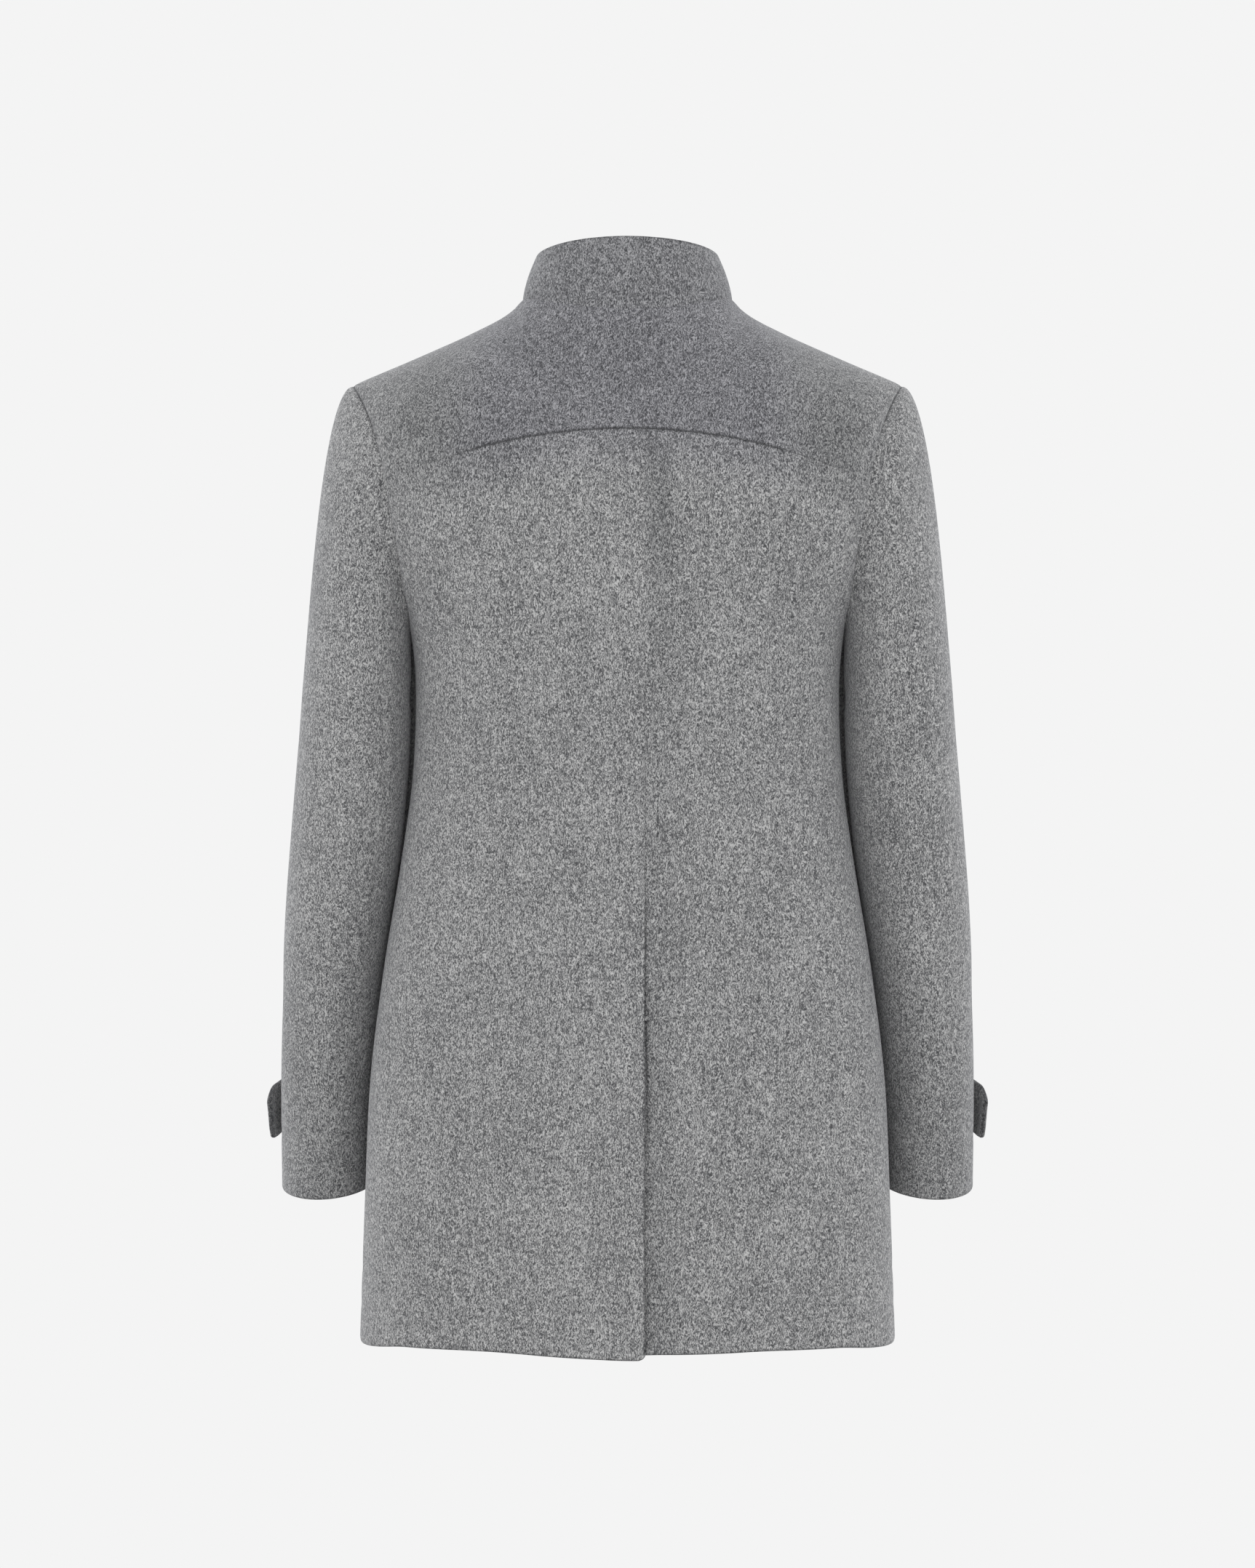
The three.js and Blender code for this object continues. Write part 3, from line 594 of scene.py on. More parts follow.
def back_yoke(settings):
    """The yoke: shares of the armhole's width across, and degrees round the armhole down to the arched seam."""
    edge_turn = armhole_degrees(YOKE["edge"])

    def surface(even, degrees):
        share = even_share(np.abs(even)) * np.sign(even)
        z = armhole_z(degrees)
        top = top_edge(share * SHOULDER["x"], BACK)[1]
        foot = yoke_z(share * armhole_x(YOKE["edge"], BACK)) + SEAM_GAP / 2
        down = (z - SHOULDER["z"]) / (YOKE["edge"] - SHOULDER["z"])
        point = body_across(share * armhole_x(z, BACK), lerp(top, foot, down), BACK)
        point[..., 0] -= np.sign(share) * np.abs(share) ** 8 * SEAM_GAP / 2
        return point

    even_share, length = even_shares(lambda s: body_across(s * armhole_x(-105.0, BACK), -105.0 + 0 * s, BACK))
    across = graded(-1, 1, 3.5 / length, 1 / length, 1 / length)
    tops = [armhole_degrees(SHOULDER["z"] - d) for d in (0, 0.25, 0.6, 1.1, 1.8, 3.0)]
    down = np.concatenate([tops, graded(tops[-1] + 1.5, edge_turn, 2.0, 0.6, 0.6)])
    edges = dict(
        left=("seam", armhole_shows),
        right=("seam", armhole_shows),
        top=("seam", neck_shows),
        bottom=("lapped", yoke_shows),
    )
    return cloth_piece("back_yoke_cloth", "back_yoke", surface, across, down, 1, edges, settings, look=yoke_look)


def body_half(name, node, hand, side, edge_x, first_turn, top_z, hem_z, under, edges, settings):
    """Half of the body, from its middle edge to the armhole and side seam. Across is an even measure from the
    middle edge. Down is degrees round the armhole to 180, and from there millimetres below the underarm."""
    first_z = armhole_z(first_turn)

    def at_underarm(share):
        x = lerp(edge_x(UNDERARM_Z), armhole_x(UNDERARM_Z, side), share)
        return body_across(x, UNDERARM_Z + 0 * share, side)

    even_share, length = even_shares(at_underarm)

    def middle_angle(z):
        return np.arctan2(side * oval_depth(edge_x(z), z, side), edge_x(z))

    def across_at(share, z):
        level = np.maximum(z, UNDERARM_Z)
        return lerp(edge_x(level), armhole_x(level, side), share)

    def surface(even, row):
        share = even_share(even)
        z = armhole_z(np.minimum(row, 180))
        fraction = (z - first_z) / (UNDERARM_Z - first_z)
        level = lerp(top_z(across_at(share, first_z)), UNDERARM_Z, fraction)
        above = body_across(hand * across_at(share, z), level, side)
        lower = UNDERARM_Z + (hem_z(share, even * length) - UNDERARM_Z) * (row - 180) / (UNDERARM_Z - HEM_Z)
        x = across_at(share, UNDERARM_Z)
        around = np.arctan2(side * oval_depth(x, UNDERARM_Z, side), x) / middle_angle(UNDERARM_Z)
        angle = middle_angle(lower) * around
        below = body_around(angle if hand == LEFT else side * math.pi - angle, lower, side)
        point = np.where((row <= 180)[..., None], above, below)
        point[..., 0] -= hand * share**8 * SEAM_GAP / 2
        point[..., 1] -= side * under(hand * point[..., 0], point[..., 2])
        return point

    across = graded(0, 1, 3.6 / length, 1 / length, 1 / length)
    tops = [armhole_degrees(first_z - d) for d in (0, 0.25, 0.6, 1.1, 1.8, 3.0)]
    upper = np.concatenate([tops, np.arange(tops[-1] + 2.4, 179, 2.4), [180]])
    lower = graded(180, 180 + UNDERARM_Z - HEM_Z, 4.2)[1:]
    down = np.concatenate([upper, lower])
    look = yoke_look if side == BACK else plain_look
    return cloth_piece(name, node, surface, across, down, hand * side, edges, settings, look=look)


def back_half(word, settings):
    """A half of the back. The left one reaches over the right one at the vent, below the seam in the middle."""
    hand = HANDS[word]
    edge = BACK_SEAM_X * hand + SEAM_GAP / 2

    def edge_x(z):
        if hand == LEFT:
            open_edge = smoothstep(VENT["top"] + 60, VENT["top"], z)
            return edge + VENT["wander"] * open_edge * (np.sin(z / 31) + 0.5 * np.sin(z / 12))
        return edge - VENT["underlap"] * smoothstep(VENT["top"] + VENT["turn"], VENT["top"], z)

    def under(x, z):
        if hand == LEFT:
            return 0 * x
        beside = smoothstep(edge + VENT["ease_x"], edge + 8, x)
        return LAP_DROP * beside * smoothstep(VENT["top"] + VENT["ease"], VENT["top"] + VENT["turn"], z)

    def hem_z(share, from_edge):
        rise = smoothstep(BACK_HEM_RISE["start"], BACK_HEM_RISE["full"], share)
        level = HEM_Z + BACK_HEM_RISE["high"] * rise * (1 - BACK_HEM_RISE["side"] * smoothstep(0.86, 1, share))
        if hand == LEFT:
            corner = np.clip(6 - from_edge, 0, 6)
            return level + 6 - np.sqrt(36 - corner**2)
        return level + UNDER_HEM_RISE * (1 - smoothstep(0.1, 0.6, share))

    edges = dict(
        left=("lapped" if hand == LEFT else "seam", middle_shows),
        right=("seam", armhole_shows),
        top=("tucked", yoke_shows),
        bottom=("turned", 1.0),
    )
    return body_half(
        f"back_{word}_cloth",
        f"back_{word}",
        hand,
        BACK,
        edge_x,
        armhole_degrees(YOKE["edge"] - SEAM_GAP / 2),
        lambda x: yoke_z(x) - SEAM_GAP / 2,
        hem_z,
        under,
        edges,
        settings,
    )


def front_half(word, settings):
    """A front, which passes the middle by the lap. The left one lies over the right one."""
    hand = HANDS[word]

    def under(x, z):
        if hand == LEFT:
            return 0 * x
        return LAP_DROP * smoothstep(FRONT_LAP + 8 + FRONT_LAP_EASE, FRONT_LAP + 8, x)

    def hem_z(share, from_edge):
        corner = np.clip(5 - from_edge, 0, 5)
        return HEM_Z + 5 - np.sqrt(25 - corner**2)

    edges = dict(
        left=("turned", 1.0), right=("seam", armhole_shows), top=("seam", neck_shows), bottom=("turned", 1.0)
    )
    return body_half(
        f"front_{word}_cloth",
        f"front_{word}",
        hand,
        FRONT,
        lambda z: -FRONT_LAP + 0 * z,
        0.0,
        lambda x: top_edge(x, FRONT)[1],
        hem_z,
        under,
        edges,
        settings,
    )


def collar(settings):
    """The stand: straight lines from the neck seam's oval to the top's smaller one, with a slight outward bow. Its
    ends lap at the front, the left one outside, and their top corners are rounded."""
    lap = math.degrees(math.asin(FRONT_LAP / NECK["half"]))
    start, end = -450 - lap, -90 + lap
    corner = 16.0

    def ring(size, turn, back, front):
        deep = np.sin(np.radians(turn))
        return np.stack(
            [
                size["half"] * np.cos(np.radians(turn)),
                size["y"] + np.where(deep > 0, size["back"], size["front"]) * deep,
                size["z"] + np.where(deep > 0, back(np.abs(deep)), front(np.abs(deep))),
            ],
            axis=-1,
        )

    def surface(turn, up):
        low = ring(NECK, turn, lambda r: -NECK["back_drop"] * r**2, lambda r: -NECK["front_drop"] * r**1.6)
        low[..., 2] += SEAM_GAP
        high = ring(
            COLLAR_TOP,
            turn,
            lambda r: COLLAR_TOP["back_rise"] * r**1.2,
            lambda r: -COLLAR_TOP["front_drop"] * r**1.4,
        )
        from_end = np.minimum(turn - start, end - turn) * math.pi / 180 * COLLAR_TOP["half"]
        inset = np.clip(corner - from_end, 0, corner)
        cut = (corner - np.sqrt(corner**2 - inset**2)) / 60
        rise = up * (1 - cut)
        point = lerp(low, high, rise[..., None])
        bow = 1.5 * np.sin(np.pi * rise) - 0.5 * np.exp(-(((turn + 250) / 16) ** 2)) * rise
        under = LAP_DROP * smoothstep(-90 - lap - 22, -90 - lap - 4, turn)
        point[..., 0] += bow * np.cos(np.radians(turn))
        point[..., 1] += bow * np.sin(np.radians(turn)) + under
        return point

    per_mm = 1 / (math.radians(1) * NECK["half"])
    across = graded(start, end, 2.4, per_mm, per_mm)
    up = graded(0, 1, 0.045, 1 / 58, 1 / 58)
    edges = dict(left=("turned", 1.0), right=("turned", 1.0), top=("seam", neck_shows), bottom=("turned", 1.0))
    return cloth_piece("collar_cloth", "collar", surface, across, up, 1, edges, settings, look=collar_look)


def sleeve_section(turn, z):
    """A point of the left sleeve below the armhole: an ellipse that swings forward and leans as it goes down."""
    deep = along(SLEEVE, "z", "deep", z) * np.sin(np.radians(turn))
    across = along(SLEEVE, "z", "across", z) * np.cos(np.radians(turn))
    swung = smoothstep(SLEEVE_TOP_Z, CUFF_Z, z)
    return np.stack(
        [
            along(SLEEVE, "z", "x", z) + across,
            along(SLEEVE, "z", "y", z) + deep,
            z - CUFF_PITCH * swung * deep - CUFF_LEAN * swung * across,
        ],
        axis=-1,
    )


def sleeve_point(turn, down):
    """A point of the left sleeve: `down` runs from the armhole, 0, through the level below the arm, 1, to the cuff,
    2. The cap is a cubic that leaves the armhole outwards and arrives pointing down the sleeve."""
    turn, down = np.broadcast_arrays(turn, down)
    lower = sleeve_section(turn, lerp(SLEEVE_TOP_Z, CUFF_Z, np.clip(down - 1, 0, 1)))
    side = np.where(np.sin(np.radians(turn)) >= 0, 1, -1)
    seam_z = armhole_z(turn)
    start = body_across(armhole_x(seam_z, side), seam_z, side)
    start[..., 1] -= side * SEAM_GAP / 2
    top = np.full(turn.shape, SLEEVE_TOP_Z)
    end = sleeve_section(turn, top)
    length = np.linalg.norm(end - start, axis=-1, keepdims=True)
    start[..., 0] += SEAM_GAP / 2
    out = np.array([1, 0, -0.1]) * CAP_REACH * length
    fall = unit(sleeve_section(turn, top - 1) - end) * length
    t = np.clip(down, 0, 1)[..., None]
    cap = (1 + 2 * t) * (1 - t) ** 2 * start + t * (1 - t) ** 2 * out + t * t * (3 - 2 * t) * end
    cap = cap - t * t * (1 - t) * fall
    point = np.where((down >= 1)[..., None], lower, cap)
    pushed = np.zeros(turn.shape)
    for t0, z0, lean, long, wide, deep in zip(*SLEEVE_CREASES.values()):
        s, c = math.sin(math.radians(lean)), math.cos(math.radians(lean))
        dx = ((turn - t0 + 180) % 360 - 180) * math.pi / 180 * 50
        dz = point[..., 2] - z0
        off, run = dx * c + dz * s, dz * c - dx * s
        pushed += deep * np.exp(-((off / wide) ** 2) - (run / long) ** 4)
    for up in CUFF_LINE["up"]:
        line = (point[..., 2] - CUFF_Z - up) / CUFF_LINE["wide"]
        pushed += CUFF_LINE["deep"] * np.exp(-line * line)
    pushed = pushed * smoothstep(0, 0.3, down)
    point[..., 0] -= pushed * np.cos(np.radians(turn))
    point[..., 1] -= pushed * np.sin(np.radians(turn))
    return point


def sleeve_piece(word, part, settings):
    """The upper or the under piece of a sleeve, between its back and front seams."""
    hand = HANDS[word]
    ends = (SLEEVE_SEAM["front"], SLEEVE_SEAM["back"])
    if part == "under":
        ends = (SLEEVE_SEAM["back"], 360 + SLEEVE_SEAM["front"])
    gap = -0.45

    def surface(turn, down):
        point = sleeve_point(turn, down)
        point[..., 0] *= hand
        return point

    across = graded(ends[0] + gap, ends[1] - gap, 4.2, 1.1, 1.1)
    cap = graded(0, 1, 0.018, 1 / 120, 1 / 120)[:-3]
    lower = graded(1, 2, 0.0105, 1 / 417, 1 / 417)[3:]
    edges = dict(
        left=("seam", sleeve_seam_shows),
        right=("seam", sleeve_seam_shows),
        top=("seam", armhole_shows),
        bottom=("turned", 1.0),
    )
    return cloth_piece(
        f"sleeve_{word}_{part}_cloth",
        f"sleeve_{word}_{part}",
        surface,
        across,
        np.concatenate([cap, lower]),
        -hand,
        edges,
        settings,
        look=sleeve_look,
    )


def tab_frame(turn, height):
    """The left sleeve's point under the tab, and the way out of the cloth there."""

    def at(t, h):
        return sleeve_point(t, 1 + (TAB["z"] + h - SLEEVE_TOP_Z) / (CUFF_Z - SLEEVE_TOP_Z))

    ahead = at(turn + 1.0, height) - at(turn - 1.0, height)
    up = at(turn, height + 1.0) - at(turn, height - 1.0)
    return at(turn, height), unit(np.cross(ahead, up))


def cuff_tab(word, settings):
    """The tab: a band round the outside of the cuff that lifts off towards its tip, where its corners are round."""
    hand = HANDS[word]

    def surface(turn, share):
        tip = smoothstep(TAB["end"] - 14, TAB["end"], turn)
        uneven = np.where(share > 0, 1.0, 0.25)
        half = TAB["half"] - TAB["cut"] * tip * np.abs(share) * uneven
        from_tip = (TAB["end"] - turn) * math.pi / 180 * 44
        inset = np.clip(TAB_CORNER - from_tip, 0, TAB_CORNER)
        half = half - (TAB_CORNER - np.sqrt(TAB_CORNER**2 - inset**2)) * 0.8
        lifting = smoothstep(TAB["lift"], TAB["end"], turn)
        point, out = tab_frame(turn, share * half - TAB["drop"] * lifting)
        rise = TAB["rise"] * lifting**1.5 * (1 + TAB_SLANT * share)
        point = point + out * (TAB_SEAT + TAB["thick"] + rise)[..., None]
        point[..., 0] *= hand
        return point

    across = graded(TAB["start"], TAB["end"], 2.6, 1.2, 1.2)
    up = graded(-1, 1, 0.09, 1 / 21, 1 / 21)
    edges = dict(left=("seam", 1.0), right=("turned", 1.0), top=("turned", 1.0), bottom=("turned", 1.0))
    return cloth_piece(
        f"cuff_tab_{word}_cloth", f"cuff_tab_{word}", surface, across, up, hand, edges, settings, TAB["thick"]
    )


def revolved(name, rings, bottom, top, place, turn_to):
    """A closed body from rings of points round an axis, with a fan to a pole at each end. `place` and `turn_to` put
    its foot at a point with its axis along a direction."""
    count, sides = rings.shape[:2]
    points = np.concatenate([[bottom], rings.reshape(-1, 3), [top]])
    index = 1 + np.arange(count * sides).reshape(count, sides)
    ahead = np.roll(index, -1, axis=1)
    quads = np.stack([index[:-1], ahead[:-1], ahead[1:], index[1:]], axis=-1).reshape(-1, 4)
    first = np.stack([np.zeros(sides, int), ahead[0], index[0]], axis=-1)
    last = np.stack([np.full(sides, len(points) - 1), index[-1], ahead[-1]], axis=-1)
    out = turn_to / np.linalg.norm(turn_to)
    side = unit(np.cross([0.0, 0.0, 1.0], out))
    basis = np.stack([side, np.cross(out, side), out])
    mesh = bpy.data.meshes.new(name)
    mesh.from_pydata((points @ basis + place) * MM, [], quads.tolist() + first.tolist() + last.tolist())
    mesh.shade_smooth()
    mesh.update()
    thing = bpy.data.objects.new(name, mesh)
    bpy.context.scene.collection.objects.link(thing)
    return thing


def button(name, node, size, place, out, settings):
    """A resin button: a dished face inside a raised rim, with four holes that are smooth pits in the dish."""
    radius, thick = size["radius"], size["thick"]
    sides = 72
    turn = np.linspace(0, 2 * math.pi, sides, endpoint=False)
    profile = table(
        "r h",
        (0.5, 0.0),
        (0.8, 0.0),
        (0.9, 0.1),
        (0.97, 0.28),
        (1.0, 0.5),
        (0.985, 0.72),
        (0.94, 0.9),
        (0.87, 0.99),
        (0.8, 0.97),
        (0.74, 0.86),
        (0.69, 0.73),
        (0.64, 0.65),
        (0.58, 0.62),
    )
    inward = np.linspace(0.55, 0.02, 30)
    r = np.concatenate([profile["r"], inward]) * radius
    h = np.concatenate([profile["h"], np.full(len(inward), 0.61) + 0.02 * inward]) * thick
    x, y = r[:, None] * np.cos(turn), r[:, None] * np.sin(turn)
    z = np.repeat(h[:, None], sides, axis=1)
    for k in range(4):
        at = math.radians(45 + 90 * k)
        off = np.hypot(x - size["holes_at"] * math.cos(at), y - size["holes_at"] * math.sin(at)) / size["hole"]
        z -= np.where(z > 0.3 * thick, 0.5 * thick * smoothstep(1.25, 0.75, off), 0)
    rings = np.stack([x, y, z], axis=-1)
    thing = revolved(name, rings, [0, 0, 0], [0, 0, 0.61 * thick], place + out * BUTTON_SEAT, out)
    finish_piece(thing, settings, slot="button")
    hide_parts(node)
    return thing


def tube(name, path, radius, settings, slot="thread"):
    """A closed cord round a path: rings of eight points square to it, rounded off to a point at both ends."""
    ahead = unit(np.gradient(path, axis=0))
    side = unit(np.cross(ahead, np.array([0.3, 0.5, 0.81])))
    up = np.cross(ahead, side)
    turn = np.linspace(0, 2 * math.pi, 8, endpoint=False)
    radius = np.broadcast_to(radius, len(path))[:, None, None]
    rings = path[:, None] + radius * (side[:, None] * np.cos(turn)[:, None] + up[:, None] * np.sin(turn)[:, None])
    first, last = path[0] - ahead[0] * 0.1, path[-1] + ahead[-1] * 0.1
    thing = revolved(name, rings, first, last, np.zeros(3), np.array([0, 0, 1.0]))
    finish_piece(thing, settings, slot=slot)
    return thing


def button_thread(name, size, place, out, settings):
    """The thread through the holes: two bars of three strands, each an arch from hole to hole."""
    side = unit(np.cross([0.0, 0.0, 1.0], out))
    up = np.cross(out, side)
    reach_x = size["holes_at"] * math.cos(math.radians(45))
    base = place + out * (BUTTON_SEAT + 0.45 * size["thick"])
    t = np.linspace(0, 1, 13)
    strands = []
    for bar in (-1, 1):
        for strand in (-1, 0, 1):
            arch = np.sin(math.pi * t) ** 0.6 * (0.24 * size["thick"] + 0.5)
            x = lerp(-reach_x, reach_x, t)
            y = np.full(len(t), bar * reach_x + strand * 0.42)
            path = base + x[:, None] * side + y[:, None] * up + arch[:, None] * out
            number = 3 * (bar > 0) + strand + 2
            strands.append(tube(f"{name}_{number}", path, 0.3, settings))
    return strands


def buttonhole(number, settings):
    """A worked buttonhole in the left front: a cord of close stitches round a slit, ribbed once a stitch."""
    z0 = FRONT_BUTTON_Z[number - 1]
    count = 160
    t = np.linspace(0, 1, count, endpoint=False)
    length = BUTTONHOLE["end"] - BUTTONHOLE["start"]
    half = BUTTONHOLE["wide"] / 2
    turn = 2 * math.pi * t
    x = (BUTTONHOLE["start"] + BUTTONHOLE["end"]) / 2
    x = x + length / 2 * np.sign(np.cos(turn)) * np.abs(np.cos(turn)) ** 0.5
    z = z0 + half * np.clip(1.6 * np.sin(turn), -1, 1)
    path = body_across(x, z, FRONT)
    path[:, 1] -= 0.35
    ribs = BUTTONHOLE["cord"] * (1 + 0.14 * np.sin(2 * math.pi * 46 * t))
    return tube(f"buttonhole_{number}", np.concatenate([path, path[:1]]), np.append(ribs, ribs[0]), settings)


def yoke_tack(word, settings):
    """A short upright bar of thread below the yoke seam: a cord laid along the cloth and let into it at both ends."""
    hand = HANDS[word]
    top = yoke_z(YOKE_TACK["x"]) - YOKE_TACK["below"]
    t = np.linspace(0, 1, 15)
    x = np.full(len(t), hand * YOKE_TACK["x"])
    path = body_across(x, top - YOKE_TACK["long"] * t, BACK)
    path[:, 1] += 0.7 * np.sin(math.pi * t) ** 0.5 - 0.4
    return tube(f"yoke_tack_{word}", path, YOKE_TACK["radius"], settings)


def shader(name):
    """A new material's node tree and its surface shader."""
    material = bpy.data.materials.new(name)
    material.use_nodes = True
    return material, material.node_tree, material.node_tree.nodes["Principled BSDF"]


def add_node(tree, kind, **values):
    """A node with some of its inputs or settings filled in."""
    node = tree.nodes.new(kind)
    for key, value in values.items():
        if key in node.inputs:
            node.inputs[key].default_value = value
        else:
            setattr(node, key, value)
    return node


def blended(tree, first, second, factor, how="MIX"):
    """Two colours mixed by a factor, each given as a socket or a plain value."""
    mix = add_node(tree, "ShaderNodeMix", data_type="RGBA", blend_type=how)
    for socket, value in ((mix.inputs[6], first), (mix.inputs[7], second), (mix.inputs[0], factor)):
        if isinstance(value, bpy.types.NodeSocket):
            tree.links.new(value, socket)
        else:
            socket.default_value = value
    return mix.outputs[2]


def maths(tree, operation, first, second=0.0, third=0.0):
    """One step of arithmetic on sockets or plain numbers."""
    node = add_node(tree, "ShaderNodeMath", operation=operation)
    for socket, value in zip(node.inputs, (first, second, third)):
        if isinstance(value, bpy.types.NodeSocket):
            tree.links.new(value, socket)
        else:
            socket.default_value = value
    return node.outputs[0]


def vector_maths(tree, operation, first, second):
    """One step of arithmetic on two vector sockets."""
    node = add_node(tree, "ShaderNodeVectorMath", operation=operation)
    tree.links.new(first, node.inputs[0])
    tree.links.new(second, node.inputs[1])
    return node.outputs[0]


def noise(tree, vector, across, down, detail=2.0, roughness=0.5):
    """Soft noise in space, with grains so many millimetres across and from top to bottom, and deeper than across."""
    scaled = add_node(tree, "ShaderNodeVectorMath", operation="MULTIPLY")
    scaled.inputs[1].default_value = (1000 / across, 1000 / (DEEPER * across), 1000 / down)
    tree.links.new(vector, scaled.inputs[0])
    grain = add_node(tree, "ShaderNodeTexNoise", Scale=1.0, Detail=detail, Roughness=roughness)
    tree.links.new(scaled.outputs[0], grain.inputs["Vector"])
    return grain.outputs["Fac"]


def wool_material(settings):
    """Brushed melange wool. Light and dark fibres are noise drawn out down the nap, bent this way and that by a slower
    noise, over larger flecks and broad soft patches. The same fibres lift the surface, and sheen is the nap's halo.
    Seams, turned edges and the vent's edge are painted darker, as painted shade in their grooves and round their rims."""
    name = "brushed_melange_wool"
    if name in bpy.data.materials:
        return bpy.data.materials[name]
    material, tree, surface = shader(name)
    shade = add_node(tree, "ShaderNodeAttribute", attribute_name="shade").outputs["Fac"]
    cloth = add_node(tree, "ShaderNodeTexCoord").outputs["Object"]
    lean = maths(tree, "MULTIPLY", maths(tree, "SUBTRACT", noise(tree, cloth, 8, 12, 1.0), 0.5), 0.007)
    bend = add_node(tree, "ShaderNodeCombineXYZ")
    tree.links.new(lean, bend.inputs[0])
    tree.links.new(lean, bend.inputs[1])
    bent = vector_maths(tree, "ADD", cloth, bend.outputs[0])
    fibres = noise(tree, bent, 1.0, 2.6, 2.0, 0.62)
    fine = noise(tree, bent, 0.6, 1.5, 1.0, 0.6)
    flecks = noise(tree, cloth, 3.6, 5.4, 2.0, 0.6)
    patches = noise(tree, cloth, 55, 90, 3.0, 0.55)
    tone = 0.5
    for grain, weight in ((fibres, 2.3), (fine, 2.5), (flecks, 0.72), (patches, 0.3)):
        tone = maths(tree, "MULTIPLY_ADD", maths(tree, "SUBTRACT", grain, 0.5), weight, tone)
    ramp = add_node(tree, "ShaderNodeValToRGB")
    tree.links.new(tone, ramp.inputs[0])
    stops = ramp.color_ramp.elements
    stops[0].position, stops[0].color = 0.03, (*settings.dark_fibre, 1)
    stops[1].position, stops[1].color = 0.97, (*settings.light_fibre, 1)
    middle = stops.new(0.5)
    middle.color = (*settings.middle_fibre, 1)
    # The shade measure multiplies in the yoke's and collar's darker tone, and painted shade below the yoke seam, beside
    # the seam down the back and on the forearms
    darker = blended(tree, ramp.outputs[0], (*settings.yoke_shade, 1), shade, "MULTIPLY")
    cool = add_node(tree, "ShaderNodeAttribute", attribute_name="cool").outputs["Fac"]
    panel = blended(tree, darker, (*settings.cool_shade, 1), cool, "MULTIPLY")
    # Painted shade along seams and turned edges, and a painted shadow line at the vent: the pressed measure, squared,
    # multiplies the colour by a dark grey
    pressed = add_node(tree, "ShaderNodeAttribute", attribute_name="pressed").outputs["Fac"]
    line = maths(tree, "MULTIPLY", maths(tree, "POWER", pressed, 2.0), 0.9)
    shaded = blended(tree, panel, (0.24, 0.24, 0.25, 1), line, "MULTIPLY")
    tree.links.new(shaded, surface.inputs["Base Color"])
    lift = maths(tree, "MULTIPLY_ADD", flecks, 0.7, maths(tree, "MULTIPLY_ADD", fine, 0.45, fibres))
    bump = add_node(tree, "ShaderNodeBump", Strength=0.55, Distance=0.0006)
    tree.links.new(lift, bump.inputs["Height"])
    tree.links.new(bump.outputs[0], surface.inputs["Normal"])
    surface.inputs["Roughness"].default_value = 0.95
    surface.inputs["Specular IOR Level"].default_value = 0.2
    surface.inputs["Sheen Weight"].default_value = 0.35
    surface.inputs["Sheen Roughness"].default_value = 0.55
    surface.inputs["Sheen Tint"].default_value = (0.86, 0.87, 0.9, 1)
    return material


def button_material(settings):
    """Dark horn-like resin: faint cloudy streaks in the colour under a soft gloss."""
    name = "horn_resin"
    if name in bpy.data.materials:
        return bpy.data.materials[name]
    material, tree, surface = shader(name)
    place = add_node(tree, "ShaderNodeTexCoord").outputs["Object"]
    streaks = noise(tree, place, 9, 4, 3.0, 0.6)
    ramp = add_node(tree, "ShaderNodeValToRGB")
    tree.links.new(streaks, ramp.inputs[0])
    stops = ramp.color_ramp.elements
    stops[0].position, stops[0].color = 0.35, (*settings.button_colour, 1)
    stops[1].position, stops[1].color = 0.7, (*(2.2 * c for c in settings.button_colour), 1)
    tree.links.new(ramp.outputs[0], surface.inputs["Base Color"])
    scratches = noise(tree, place, 1.2, 0.5, 2.0, 0.5)
    roughness = maths(tree, "MULTIPLY_ADD", scratches, 0.25, 0.2)
    tree.links.new(roughness, surface.inputs["Roughness"])
    surface.inputs["Coat Weight"].default_value = 0.3
    surface.inputs["Coat Roughness"].default_value = 0.25
    return material


def thread_material(settings):
    """Grey sewing thread: a fine twist in the colour and the surface."""
    name = "grey_thread"
    if name in bpy.data.materials:
        return bpy.data.materials[name]
    material, tree, surface = shader(name)
    place = add_node(tree, "ShaderNodeTexCoord").outputs["Object"]
    twist = noise(tree, place, 0.5, 0.5, 2.0, 0.6)
    colour = blended(tree, (0.04, 0.04, 0.043, 1), (0.1, 0.1, 0.104, 1), twist)
    tree.links.new(colour, surface.inputs["Base Color"])
    bump = add_node(tree, "ShaderNodeBump", Strength=0.4, Distance=0.0003)
    tree.links.new(twist, bump.inputs["Height"])
    tree.links.new(bump.outputs[0], surface.inputs["Normal"])
    surface.inputs["Roughness"].default_value = 0.75
    surface.inputs["Sheen Weight"].default_value = 0.2
    return material


def floor_material():
    """Pale matt floor with a faint mottle, which fades out towards its rim with distance from the middle."""
    material, tree, surface = shader("pale_floor")
    place = add_node(tree, "ShaderNodeTexCoord").outputs["Object"]
    mottle = noise(tree, place, 45, 45, 3.0, 0.6)
    colour = blended(tree, (0.70, 0.70, 0.705, 1), (0.76, 0.76, 0.76, 1), mottle)
    tree.links.new(colour, surface.inputs["Base Color"])
    surface.inputs["Roughness"].default_value = 0.9
    level = add_node(tree, "ShaderNodeVectorMath", operation="MULTIPLY")
    level.inputs[1].default_value = (1, 1, 0)
    tree.links.new(place, level.inputs[0])
    away = add_node(tree, "ShaderNodeVectorMath", operation="LENGTH")
    tree.links.new(level.outputs[0], away.inputs[0])
    fade = add_node(tree, "ShaderNodeMapRange", interpolation_type="SMOOTHSTEP")
    tree.links.new(away.outputs["Value"], fade.inputs["Value"])
    for key, value in (("From Min", 0.5), ("From Max", FLOOR_RADIUS), ("To Min", 1.0), ("To Max", 0.0)):
        fade.inputs[key].default_value = value
    tree.links.new(fade.outputs["Result"], surface.inputs["Alpha"])
    return material


